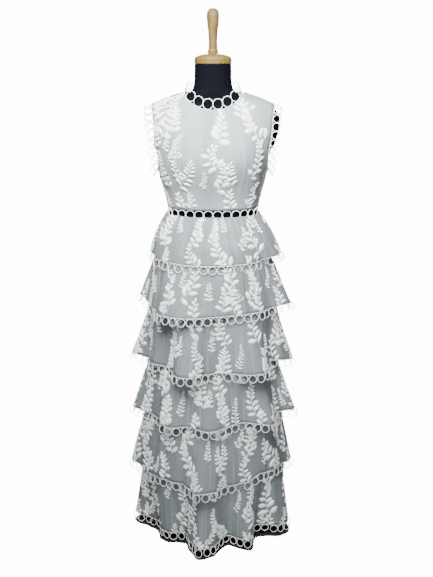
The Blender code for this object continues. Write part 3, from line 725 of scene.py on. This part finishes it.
tiers = {n: tier_cloth(n, top_tier_net if n == 1 else lower_tier_painted_shade_net) for n in range(1, 7)}

# %% [markdown]
# Below the lowest hem a little dark floor shows, and its darkness is partly painted shade under the
# skirt. It is kept to the hem's own outline, a few millimetres past it, so that the dress stands on a
# white ground otherwise.

# %% Floor below the hem
FLOOR_PAST_HEM = 5 * MM
FLOOR_SIDES = 240

floor_mesh = bmesh.new()
bmesh.ops.create_circle(floor_mesh, cap_ends=True, segments=FLOOR_SIDES, radius=1.0)
for vert in floor_mesh.verts:
    hem = on_tier(6, angle_of(vert.co), 1.0)
    hem.z = 0.0
    vert.co = hem + hem.normalized() * FLOOR_PAST_HEM
# The dark floor sheet lies only under the skirt, partly as painted shade there
floor = new_object("floor", floor_mesh, dark_floor_and_painted_shade("floor_and_painted_shade_under_skirt"), smooth=False)
print("floor points", len(floor.data.vertices))

# %% [markdown]
# The plain base skirt hangs inside the tiers, and shows through the rings of the hems and from
# below. It is one smooth sheet too. It starts a little lower than its solid, behind the waist's lace.

# %% Base skirt
waves["base"] = Wave("base_skirt")
BASE_COLUMNS = 120
BASE_ROWS = 24
BASE_LOW = 0.011
base_angles, base_hem = waves["base"].even_angles(BASE_COLUMNS)
base_drop = (waves["base"].at(0, 1) - waves["base"].at(0, 0)).length


def on_base(i, down):
    """A point of the base skirt's cloth."""
    return waves["base"].at(base_angles[i % BASE_COLUMNS], BASE_LOW + (1 - BASE_LOW) * down)


base_cloth, base_area = ring_cloth(
    "base_skirt_cloth", (BASE_COLUMNS, BASE_ROWS), on_base, (base_hem, base_drop), lining_cloth,
    "underskirt_lining", "base_skirt",
)

# %% [markdown]
# The bodice is fitted, so its packed panels already hold its shape. Each panel's outer face is taken
# from its solid, its triangles are joined back to squares, and Subdivision Surface rounds it. The
# outer face is all that can be reached from its largest face without turning a sharp rim. Its corners
# are creased, so that the panels still meet at the ends of each seam.

# %% Bodice panels
RIM_TURN = math.radians(52)
SQUARE_FLATNESS = math.radians(60)
SQUARE_SKEW = math.radians(70)
CORNER_ANGLE = math.radians(135)
WAIST_HEIGHT = 1.105
NEAR_WAIST = 1 * MM
WAIST_DROP = 4 * MM
# The radius of an upright cylinder about as wide as the bodice, for its UV map in metres
BODICE_RADIUS = 0.15


def outer_face(node):
    """The outer skin of a packed panel, as a mesh of squares."""
    bm = bmesh.new()
    bm.from_mesh(nodes[node].data)
    bmesh.ops.remove_doubles(bm, verts=bm.verts, dist=JOIN)
    bm.normal_update()

    def outness(face):
        return face.calc_area() * face.normal.dot(outward(face.calc_center_median()))

    start = max(bm.faces, key=outness)
    reached = {start}
    waiting = [start]
    while waiting:
        face = waiting.pop()
        for edge in face.edges:
            for other in edge.link_faces:
                if other not in reached and face.normal.angle(other.normal, math.pi) < RIM_TURN:
                    reached.add(other)
                    waiting.append(other)
    bmesh.ops.delete(bm, geom=[f for f in bm.faces if f not in reached], context="FACES")
    bmesh.ops.join_triangles(
        bm, faces=bm.faces, angle_face_threshold=SQUARE_FLATNESS, angle_shape_threshold=SQUARE_SKEW
    )
    return bm


def hold_corners(bm):
    """Creases the corners of an open cloth, so that rounding it leaves them where they are."""
    crease = bm.verts.layers.float.new("crease_vert")
    for vert in bm.verts:
        rims = [edge for edge in vert.link_edges if edge.is_boundary]
        if len(rims) == 2:
            before, after = (edge.other_vert(vert).co - vert.co for edge in rims)
            if before.angle(after) < CORNER_ANGLE:
                vert[crease] = 1.0


def panel_cloth(node, name):
    """The smooth cloth of a panel, with its waist edge let down over the top of the lace."""
    bm = outer_face(node)
    hold_corners(bm)
    for vert in bm.verts:
        if vert.is_boundary and vert.co.z < WAIST_HEIGHT + NEAR_WAIST:
            vert.co.z -= WAIST_DROP
    write_uv(bm, lambda co: (math.radians(angle_of(co) % 360) * BODICE_RADIUS, co.z))
    area = skin_area(bm)
    made = new_object(name, bm, bodice_cloth)
    rounding = made.modifiers.new("rounding", "SUBSURF")
    rounding.levels = rounding.render_levels = 2
    rounding.boundary_smooth = "PRESERVE_CORNERS"
    wall = made.modifiers.new("wall", "SOLIDIFY")
    wall.thickness = CLOTH_THICKNESS
    wall.offset = -1
    settle(made, "sprigged_tulle", node)
    print(name, "faces", len(made.data.polygons), "area", round(area, 4))
    return made, area


panels = {
    node: panel_cloth(node, name)
    for node, name in (
        ("bodice_front", "bodice_cloth_front"),
        ("bodice_back_left", "bodice_cloth_back_left"),
        ("bodice_back_right", "bodice_cloth_back_right"),
    )
}

# %% [markdown]
# Every edge of the dress carries a lace of small corded rings. One ring is modelled once: the
# five-sided outline of a cord, swept round a circle. It is then set along each edge, squeezed or
# stretched to the pitch of that edge, turned to the way that the lace stands, and it touches its
# neighbours. A thin cord runs along the edge, except at the waist.

# %% One corded ring, and rows of rings
RING_STEPS = 18
CORD_SIDES = 5
CORD_RADIUS = 1.2 * MM
RING_PITCH = 26.5 * MM
MEAN_RING_RADIUS = 12 * MM

ring_mesh = bmesh.new()
section = bmesh.ops.create_circle(ring_mesh, segments=CORD_SIDES, radius=CORD_RADIUS)["verts"]
for vert in section:
    vert.co = (1.0 + vert.co.x, 0.0, vert.co.y)
bmesh.ops.spin(
    ring_mesh, geom=ring_mesh.verts[:] + ring_mesh.edges[:], cent=(0, 0, 0), axis=(0, 0, 1),
    angle=2 * math.pi, steps=RING_STEPS, use_merge=True,
)
bmesh.ops.recalc_face_normals(ring_mesh, faces=ring_mesh.faces)
ring_uv = ring_mesh.loops.layers.uv.new("UVMap")
for face in ring_mesh.faces:
    middle = face.calc_center_median()
    round_turn = math.atan2(middle.y, middle.x)
    for loop in face.loops:
        turn = math.atan2(loop.vert.co.y, loop.vert.co.x)
        turn = round_turn + (turn - round_turn + math.pi) % (2 * math.pi) - math.pi
        loop[ring_uv].uv = (turn * MEAN_RING_RADIUS, loop.vert.co.z)
ring_shape = keep_shape(ring_mesh, "one_ring")


def add_ring(bm, centre, across, down, normal, half_across, half_down):
    """Sets one ring into a row. Its cord keeps its thickness whatever the ring's size."""
    start = len(bm.verts)
    bm.from_mesh(ring_shape)
    bm.verts.ensure_lookup_table()
    for vert in bm.verts[start:]:
        x, y, z = vert.co
        length = math.hypot(x, y)
        thick = length - 1.0
        cos, sin = x / length, y / length
        vert.co = (
            centre + across * cos * (half_across - CORD_RADIUS + thick)
            + down * sin * (half_down - CORD_RADIUS + thick) + normal * z
        )


def add_cord(bm, points, radius, closed):
    """A thin cord through points, made as a bevelled curve and added to a row of rings."""
    curve = bpy.data.curves.new("cord", "CURVE")
    curve.dimensions = "3D"
    curve.bevel_depth = radius
    curve.bevel_resolution = 1
    spline = curve.splines.new("POLY")
    spline.points.add(len(points) - 1)
    for target, point in zip(spline.points, points):
        target.co = (*point, 1.0)
    spline.use_cyclic_u = closed
    curve.use_fill_caps = not closed
    holder = bpy.data.objects.new("cord", curve)
    mesh = bpy.data.meshes.new_from_object(holder)
    bm.from_mesh(mesh)
    bpy.data.objects.remove(holder)
    bpy.data.curves.remove(curve)
    bpy.data.meshes.remove(mesh)


def lace(name, bm, replaced):
    """The finished lace of one edge, in place of its packed strips."""
    bmesh.ops.recalc_face_normals(bm, faces=bm.faces)
    return settle(new_object(name, bm, ring_thread), "ring_lace", *replaced)


HEM_RING_HALF = 13.4 * MM
HEM_CORD = 1.1 * MM
RING_LAP = 0.6 * MM
RING_OVERLAP = 0.5 * MM
RING_TILT = 0.10
# Rings near the sides turn towards the front: how much, at what angle, and over how many degrees
SIDE_TWIST = 0.75
SIDE_ANGLE = 84
SIDE_SPREAD = 20


def hem_rings(n):
    """The rings below one tier, each hanging in the tier's own slope."""
    wave = waves[n]
    length = wave.even_angles(4)[1]
    count = round(length / RING_PITCH)
    angles, _ = wave.even_angles(2 * count)
    bm = bmesh.new()
    shaker = random.Random(n)
    for k in range(count):
        a, b, c = (on_tier(n, angles[2 * k + j], 1) for j in range(3))
        above = on_tier(n, angles[2 * k + 1], 0.9)
        down = (b - above).normalized()
        across = (c - a).normalized()
        normal = across.cross(down).normalized()
        down = normal.cross(across).normalized()
        if normal.dot(outward(b)) < 0:
            normal = -normal
        beside = (abs((angles[2 * k + 1] + 180) % 360 - 180) - SIDE_ANGLE) / SIDE_SPREAD
        normal += Vector((0, -1, 0)) * SIDE_TWIST * math.exp(-(beside**2))
        tilt = shaker.uniform(-RING_TILT, RING_TILT)
        down = (down + normal.normalized() * tilt).normalized()
        across = down.cross(normal).normalized()
        centre = b + down * (HEM_RING_HALF - RING_LAP) - normal * RING_LAP
        half = min((c - a).length / 2 + RING_OVERLAP, HEM_RING_HALF)
        add_ring(bm, centre, across, down, across.cross(down).normalized(), half, HEM_RING_HALF)
    edge = [on_tier(n, a, 1) for a in angles[:-1]]
    add_cord(bm, edge, HEM_CORD, True)
    nodes_of_lace = [f"hem_trim_{n}"] if n < 6 else ["hem_trim_6_front", "hem_trim_6_back"]
    made = lace(f"hem_lace_{n}", bm, nodes_of_lace)
    print(made.name, "rings", count, "triangles", sum(len(p.vertices) - 2 for p in made.data.polygons))
    return made


hem_laces = {n: hem_rings(n) for n in range(1, 7)}

# %% [markdown]
# The bodice's packed panels have one straight edge for each ring of their lace, so the rings are set
# edge by edge. Which edge a ring belongs to follows from where it lies: the waist, the armholes and
# the neckline are in different places, and the seams lie in the planes of the sides and the back.

# %% Edges of the bodice
SEAM_PLANE = 0.6 * MM
NECK_REACH = 0.09


def bodice_edges():
    """(place, first end, second end) for each edge that carries a ring."""
    found = []
    for node in ("bodice_front", "bodice_back_left", "bodice_back_right"):
        bm = outer_face(node)
        for edge in bm.edges:
            if len(edge.link_faces) != 1:
                continue
            a, b = (v.co.copy() for v in edge.verts)
            middle = (a + b) / 2
            if max(abs(a.y), abs(b.y)) < SEAM_PLANE or max(abs(a.x), abs(b.x)) < SEAM_PLANE:
                continue
            if middle.z < WAIST_HEIGHT + NEAR_WAIST:
                place = "waist"
            elif abs(middle.x) < NECK_REACH:
                place = "neck"
            else:
                place = "left" if middle.x > 0 else "right"
            found.append((place, a, b))
        bm.free()
    return found


edges = bodice_edges()
for place in ("waist", "neck", "left", "right"):
    print(place, sum(1 for e in edges if e[0] == place))

# %% [markdown]
# The lace stands up round the neck, stands out and droops round the armholes, and at the waist it
# joins the bodice to the skirt. So each edge has its own rule for the way that its rings stand.

# %% Rings of the neck, the armholes and the waist
ARM_LOW, ARM_HIGH = 1.215, 1.425
# How far the armholes' lace stands out below the arm, what it gains half way up and at the tip, and
# how far it droops below the arm and at the tip, as shares of its direction
ARM_OUT, ARM_BULGE, ARM_TIP_GAIN = 0.40, 0.55, 0.45
ARM_DROOP_LOW, ARM_DROOP_HIGH = 0.92, 0.50
ARM_SPREAD = 0.10
NECK_LEAN_ACROSS, NECK_LEAN_DEPTH, NECK_LACE = 0.10, 0.04, 32.0 * MM
EDGE_LAP = 0.4 * MM
WAIST_SET_BACK = 1.6 * MM
NECK_SHAKE = 0.4 * MM
EDGE_CORD, EDGE_CORD_DOWN = 0.9 * MM, 0.2 * MM


def neck_way(middle):
    """Up, leaning in a little at the sides as the form's neck narrows."""
    return Vector((-NECK_LEAN_ACROSS * middle.x, -NECK_LEAN_DEPTH * middle.y, NECK_LACE)).normalized()


def arm_way(middle):
    """Out from the armhole, drooping below the arm and at the shoulder tip."""
    height = (ARM_LOW + ARM_HIGH - 2 * middle.z) / (ARM_HIGH - ARM_LOW)
    t = math.acos(max(-1.0, min(1.0, height))) / math.pi
    side = math.copysign(1, middle.x)
    out = ARM_OUT + ARM_BULGE * math.sin(math.pi * t) + ARM_TIP_GAIN * t
    spread = math.copysign(ARM_SPREAD * math.sin(math.pi * t), middle.y)
    droop = ARM_DROOP_LOW * (1 - t) ** 2 + ARM_DROOP_HIGH * t**2
    return Vector((side * out, spread, -droop)).normalized()


def waist_way(middle):
    """Straight down, wherever the ring is."""
    return Vector((0, 0, -1))


RingRow = namedtuple("RingRow", "way half_height nodes")
RING_ROWS = {
    "neck": RingRow(neck_way, 17.5 * MM, ("neck_trim_front", "neck_trim_back")),
    "left": RingRow(arm_way, 14.0 * MM, ("armhole_trim_left_front", "armhole_trim_left_back")),
    "right": RingRow(arm_way, 14.0 * MM, ("armhole_trim_right_front", "armhole_trim_right_back")),
    "waist": RingRow(waist_way, 13.6 * MM, ("waist_trim_front", "waist_trim_back")),
}


def edge_rings(place):
    """The rings along one edge of the bodice, a ring for each packed edge, and their cord."""
    row = RING_ROWS[place]
    bm = bmesh.new()
    shaker = random.Random(len(place))
    for _, a, b in [e for e in edges if e[0] == place]:
        middle = (a + b) / 2
        across = (b - a).normalized()
        down = row.way(middle)
        normal = across.cross(down).normalized()
        across = down.cross(normal).normalized()
        centre = middle + down * (row.half_height - EDGE_LAP)
        if place == "waist":
            centre -= outward(middle) * WAIST_SET_BACK + Vector((0, 0, WAIST_DROP))
        if place == "neck":
            centre += down.cross(across) * shaker.uniform(-1, 1) * NECK_SHAKE
        half = (b - a).length / 2 + RING_OVERLAP
        add_ring(bm, centre, across, down, normal, half, row.half_height)
        if place != "waist":
            add_cord(bm, [a + down * EDGE_CORD_DOWN, b + down * EDGE_CORD_DOWN], EDGE_CORD, False)
    return lace(f"{place}_lace", bm, row.nodes)


upper_laces = {place: edge_rings(place) for place in RING_ROWS}
print({place: len(made.data.polygons) for place, made in upper_laces.items()})

# %% [markdown]
# The embroidery is a repeat of leafy sprigs. A leaf is modelled once, as a pointed pad a little
# thicker along its middle, and so is a length of stem. A sprig sets them along a bent line, and each
# point is then dropped on the cloth, so that the thread follows every fold.

# %% One leaf
LEAF_SIDES = 12
LEAF_TAPER, LEAF_TAPER_POWER = 1.1, 1.5
LEAF_RIM = 0.10

leaf_mesh = bmesh.new()
bmesh.ops.create_circle(leaf_mesh, cap_ends=True, segments=LEAF_SIDES, radius=0.5)
for vert in leaf_mesh.verts:
    x, y = vert.co.x, vert.co.y
    vert.co.x = x * (1 - LEAF_TAPER * abs(y) ** LEAF_TAPER_POWER)
    vert.co.y = y + 0.5
rim = leaf_mesh.faces[:]
bmesh.ops.inset_individual(leaf_mesh, faces=rim, thickness=LEAF_RIM, depth=0.0)
for face in rim:
    for vert in face.verts:
        vert.co.z = 1.0
bmesh.ops.triangulate(leaf_mesh, faces=[f for f in leaf_mesh.faces if len(f.verts) > 4])
write_uv(leaf_mesh, lambda co: (abs(co.x) * 0.02, co.y * 0.03))
leaf_shape = keep_shape(leaf_mesh, "one_leaf")
# %% [markdown]
# A stem is a narrow line of stitches. A bevelled curve would do, but a short strip with a raised
# middle has fewer faces, and it is laid on the cloth just as a leaf is.

# %% A stem piece
STEM_STEPS = 3

stem_mesh = bmesh.new()
bmesh.ops.create_grid(stem_mesh, x_segments=2, y_segments=STEM_STEPS, size=0.5)
for vert in stem_mesh.verts:
    vert.co.y += 0.5
    vert.co.z = 1.0 if abs(vert.co.x) < 0.1 else 0.0
write_uv(stem_mesh, lambda co: (co.x * 0.002, co.y * 0.02))
stem_shape = keep_shape(stem_mesh, "one_stem")

# %% [markdown]
# An embroiderer works on flat cloth. So that leaves keep their size on a folded tier, a place is
# measured along the cloth, round it and up it. A ray cast from outside then finds that place on the
# cloth. A Shrinkwrap modifier could lay the leaves too, but it would stretch them on steep folds.

# %% Cloth to embroider
class Ground:
    """Cloth as an embroiderer lays it flat: a place is a distance round it and a distance up it."""

    # The distance between two levels, the steps in a degree, and how far from the axis a ray starts
    # and how far in it looks
    STEP = 5 * MM
    QUARTERS = 4
    OUTSIDE, REACH = 0.6, 0.55

    def __init__(self, objects, level, foot, top):
        """Cloth between two heights. Distances round it are measured at one level."""
        graph = bpy.context.evaluated_depsgraph_get()
        self.trees = [BVHTree.FromObject(made, graph) for made in objects]
        self.foot = foot
        self.levels = [foot + self.STEP * k for k in range(int((top - foot) / self.STEP) + 2)]
        self.rises = [self.rise(angle) for angle in range(361)]
        self.lengths = [0.0]
        last = self.cast(0, level)[0]
        for k in range(1, 360 * self.QUARTERS + 1):
            hit = self.cast(k / self.QUARTERS, level)
            point = last if hit is None else hit[0]
            self.lengths.append(self.lengths[-1] + (point - last).length)
            last = point
        self.round = self.lengths[-1]

    def cast(self, angle, height):
        """The outermost cloth at that angle and height, looked for from outside."""
        turn = math.radians(angle)
        out = Vector((math.sin(turn), -math.cos(turn), 0))
        best = None
        for tree in self.trees:
            point, normal, _, _ = tree.ray_cast(out * self.OUTSIDE + Vector((0, 0, height)), -out, self.REACH)
            if point is not None and (best is None or point.dot(out) > best[0].dot(out)):
                best = (point, normal)
        return best

    def rise(self, angle):
        """The distance up the cloth at each level. Where there is no cloth it goes straight up."""
        found = [0.0]
        hits = [self.cast(angle, level) for level in self.levels]
        for low, high in zip(hits, hits[1:]):
            step = self.STEP if low is None or high is None else (high[0] - low[0]).length
            found.append(found[-1] + min(step, 4 * self.STEP))
        return found

    def angle_at(self, along):
        """The angle that a distance round the cloth comes to."""
        along %= self.round
        k = min(bisect_right(self.lengths, along), len(self.lengths) - 1)
        low, high = self.lengths[k - 1], self.lengths[k]
        return (k - 1 + (along - low) / max(high - low, 1e-9)) / self.QUARTERS

    def height_at(self, angle, up):
        """The height that a distance up the cloth comes to at that angle."""
        heights = []
        for rise in (self.rises[int(angle) % 360], self.rises[int(angle) % 360 + 1]):
            k = min(max(bisect_right(rise, up), 1), len(rise) - 1)
            heights.append(self.levels[k - 1] + self.STEP * (up - rise[k - 1]) / (rise[k] - rise[k - 1]))
        return heights[0] + (heights[1] - heights[0]) * (angle - int(angle))

    def lay(self, along, up, lift):
        """The point of the cloth at that place, lifted off it, or None past its edge."""
        angle = self.angle_at(along)
        hit = self.cast(angle, self.height_at(angle, up))
        return None if hit is None else hit[0] + hit[1] * lift


# A leaf's middle is lifted off the cloth and its rim is sunk into it. A point that falls past the
# cloth's edge is drawn back towards the leaf's middle by these shares, until it is on the cloth.
LEAF_LIFT = 2.0 * MM
LEAF_SINK = 0.25 * MM
CUTS = (1.0, 0.75, 0.5, 0.25, 0.0)


def sew(bm, ground, shape, foot, way, width, length, low, high):
    """Sets one leaf or stem piece on the cloth. What runs past the cloth's edge is cut off there."""
    side = Vector((way.y, -way.x))
    middle = foot + way * (length * 0.5)
    points = []
    for vert in shape.vertices:
        flat = foot + side * (vert.co.x * width) + way * (vert.co.y * length)
        for cut in CUTS:
            place = middle.lerp(flat, cut)
            point = None
            if low <= place.y <= high:
                point = ground.lay(place.x, place.y, LEAF_LIFT * vert.co.z - LEAF_SINK * (1 - vert.co.z))
            if point is not None:
                break
        if point is None or cut == 0.0:
            return
        points.append(point)
    start = len(bm.verts)
    bm.from_mesh(shape)
    bm.verts.ensure_lookup_table()
    for vert, point in zip(bm.verts[start:], points):
        vert.co = point


print("a level every", Ground.STEP, "m")

# %% [markdown]
# The repeat is a garland: short leafy sprigs one above another, leaning to the left and the right in
# turn. A sprig has a bent stem and pairs of leaves, broad and almost square to the stem at its foot
# and small and steep at its tip. Looser sprigs of small leaves fill the ground between garlands.

# %% A sprig and a garland
Sprig = namedtuple("Sprig", "along up length lean bend leaf")
Range = namedtuple("Range", "low high")
LEAF_PLUMPNESS = Range(0.46, 0.62)
LEAF_LENGTH = Range(0.86, 1.14)
STEM_WIDTH = 1.7 * MM
LEAF_OFF_STEM = 1.2 * MM
# A sprig's length and how far it stands to the side are in metres, and its lean in radians
SPRIG_LENGTH = Range(0.060, 0.115)
SPRIG_LEAN = Range(0.30, 1.20)
SPRIG_SIDE = Range(0.008, 0.030)
SPRIG_SIZES = (0.65, 0.85, 1.0, 1.15, 1.3)
LEAN_BACK = Range(0.8, 2.2)
# Leaves shrink from foot to tip, and the steps between them with them
FOOT_LEAF, LEAF_LOSS, LOSS_POWER = 1.08, 0.60, 1.3
STEP_SHARE, STEP_MORE, STEM_LAP = 0.60, 3.2 * MM, 1.05
# A leaf's angle to the stem at the foot, what it loses to the tip and how much it varies, in degrees
LEAF_SPREAD, SPREAD_LOSS, SPREAD_SHAKE = 72, 30, 11
LEFT_LEAF_AT, RIGHT_LEAF_AT = 0.5, 0.15
GARLAND_BELOW = 0.07
GARLAND_STEP = Range(0.75, 1.25)
SECOND_SPRIG_CHANCE = 0.45
DRIFT = 0.026
LOOSE_LENGTH = Range(0.045, 0.075)
LOOSE_SIZE = Range(0.42, 0.60)


def turned(way, angle):
    """A direction on the flat cloth turned to the right by an angle."""
    return Vector((
        way.x * math.cos(angle) + way.y * math.sin(angle),
        way.y * math.cos(angle) - way.x * math.sin(angle),
    ))


def embroider_sprig(bm, ground, sprig, shaker, low, high):
    """A bent stem with pairs of leaves that grow smaller and steeper, and one leaf at the tip."""
    place = Vector((sprig.along, sprig.up))
    gone = 0.0
    lean = sprig.lean
    plump = shaker.uniform(*LEAF_PLUMPNESS)
    while gone < sprig.length:
        share = gone / sprig.length
        size = sprig.leaf * (FOOT_LEAF - LEAF_LOSS * share**LOSS_POWER)
        step = STEP_SHARE * size + STEP_MORE
        way = turned(Vector((0, 1)), lean)
        sew(bm, ground, stem_shape, place, way, STEM_WIDTH, step * STEM_LAP, low, high)
        for hand in (-1, 1):
            shake = shaker.uniform(-SPREAD_SHAKE, SPREAD_SHAKE)
            spread = hand * math.radians(LEAF_SPREAD - SPREAD_LOSS * share + shake)
            start = step * (RIGHT_LEAF_AT if hand > 0 else LEFT_LEAF_AT)
            foot = place + way * (start + shaker.uniform(-1, 1) * MM)
            foot += turned(way, spread) * LEAF_OFF_STEM
            long = size * shaker.uniform(*LEAF_LENGTH)
            sew(bm, ground, leaf_shape, foot, turned(way, spread), long * plump, long, low, high)
        place = place + way * step
        gone += step
        lean += sprig.bend * step / sprig.length + shaker.uniform(-0.05, 0.05)
    sew(bm, ground, leaf_shape, place, turned(Vector((0, 1)), lean), size * plump, size, low, high)


def garland(along, low, high, leaf, shaker):
    """Sprigs one above another from low to high. Some start below low, as the cloth was cut there."""
    sprigs = []
    up = low - shaker.uniform(0.0, GARLAND_BELOW)
    hand = shaker.choice((-1, 1))
    drift = 0.0
    while up < high:
        length = shaker.uniform(*SPRIG_LENGTH)
        lean = hand * shaker.uniform(*SPRIG_LEAN)
        side = hand * shaker.uniform(*SPRIG_SIDE)
        size = leaf * shaker.choice(SPRIG_SIZES)
        bend = -lean * shaker.uniform(*LEAN_BACK)
        sprigs.append(Sprig(along + drift - side, up, length, lean, bend, size))
        if shaker.random() < SECOND_SPRIG_CHANCE:
            beside = along + drift + side * 0.9
            sprigs.append(Sprig(beside, up + 0.02, length * 0.7, -lean * 0.7, lean, size * 0.85))
        up += length * shaker.uniform(*GARLAND_STEP)
        drift += shaker.uniform(-DRIFT, DRIFT)
        hand = -hand
    return sprigs


def loose(along, low, high, leaf, shaker):
    """A small-leaved sprig between two garlands."""
    lean = shaker.uniform(-1.0, 1.0)
    up = shaker.uniform(low, max(low + 0.01, high - 0.05))
    length = shaker.uniform(*LOOSE_LENGTH)
    return Sprig(along, up, length, lean, -1.2 * lean, leaf * shaker.uniform(*LOOSE_SIZE))


GARLAND_START = 0.35
GARLAND_SHAKE = 0.12
TOP_SHAKE = 0.025
BETWEEN = Range(0.42, 0.58)


def embroider(name, ground, pitch, low, high, leaf, seed):
    """Garlands side by side round the cloth, each with a loose sprig beside it, as one piece."""
    bm = bmesh.new()
    shaker = random.Random(seed)
    count = round(ground.round / pitch)
    sprigs = []
    for k in range(count):
        along = (k + GARLAND_START + shaker.uniform(-GARLAND_SHAKE, GARLAND_SHAKE)) * ground.round / count
        sprigs += garland(along, low, high - shaker.uniform(0, TOP_SHAKE), leaf, shaker)
        between = along + shaker.uniform(*BETWEEN) * ground.round / count
        sprigs.append(loose(between, low, high, leaf, shaker))
    for sprig in sprigs:
        embroider_sprig(bm, ground, sprig, shaker, low, high)
    made = settle(new_object(name, bm, leaf_thread), "sprigged_tulle")
    print(name, "garlands", count, "sprigs", len(sprigs), "faces", len(made.data.polygons))
    return made


print("sprigs are", SPRIG_LENGTH.low, "to", SPRIG_LENGTH.high, "m long")

# %% [markdown]
# Each tier is embroidered by itself, from its hem up to where the frill above hides it, because
# leaves that nobody sees would only cost faces.

# %% Embroider the tiers
GARLAND_PITCH = 0.106
TIER_LEAF = 25 * MM
ABOVE_HEM = 0.045
UP_SHARE = 1.1
# The frill above hides about this much of a tier's cloth
COVERED = 0.062


def tier_sprigs(n):
    """One tier's embroidery, up to where the frill above hides it."""
    low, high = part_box(f"tier_{n}")
    slant = tiers[n][2]
    ground = Ground([tiers[n][0]], low.z + ABOVE_HEM, low.z, high.z)
    shown = slant * UP_SHARE if n == 1 else slant * UP_SHARE - COVERED
    return embroider(f"tier_sprigs_{n}", ground, GARLAND_PITCH, 0.0, shown, TIER_LEAF, n)


tier_embroidery = {n: tier_sprigs(n) for n in range(1, 7)}

# %% [markdown]
# The three panels of the bodice are embroidered as one cloth, so that sprigs run on across the seams.

# %% Embroider the bodice
BODICE_LEAF = 23 * MM
BODICE_PITCH = 0.118
BODICE_LOW, BODICE_HIGH, BODICE_LEVEL = 1.107, 1.47, 1.18
PAST_SHOULDER = 0.5
BODICE_SEED = 70

bodice_ground = Ground([made for made, _ in panels.values()], BODICE_LEVEL, BODICE_LOW, BODICE_HIGH)
bodice_embroidery = embroider(
    "bodice_sprigs", bodice_ground, BODICE_PITCH, 0.0, PAST_SHOULDER, BODICE_LEAF, BODICE_SEED
)

# %% [markdown]
# Last, the flat cut that each piece of cloth was made from is printed. A tier's cut is a flared strip,
# as long as its hem and shorter at its seam, so its area is less than length times depth. Each area
# is that of the cloth's outer face as built.

# %% State the sheets
for n, (made, hem, slant, area) in tiers.items():
    ["waist_trim_front"] if n == 1 else ["base_skirt_cloth"]
    print(made.name, "flat", round(hem, 3), "by", round(slant, 3), "area", round(area, 4))

# A panel's widest girth, which lies just under the arm, by its length from waist to shoulder
PANEL_FLAT = {
    "bodice_front": (0.50, 0.37), "bodice_back_left": (0.23, 0.37), "bodice_back_right": (0.23, 0.37),
}
for node, (made, area) in panels.items():
    [bodice_embroidery, *upper_laces.values()] if node == "bodice_front" else []
    print(made.name, "flat", PANEL_FLAT[node], "area", round(area, 4))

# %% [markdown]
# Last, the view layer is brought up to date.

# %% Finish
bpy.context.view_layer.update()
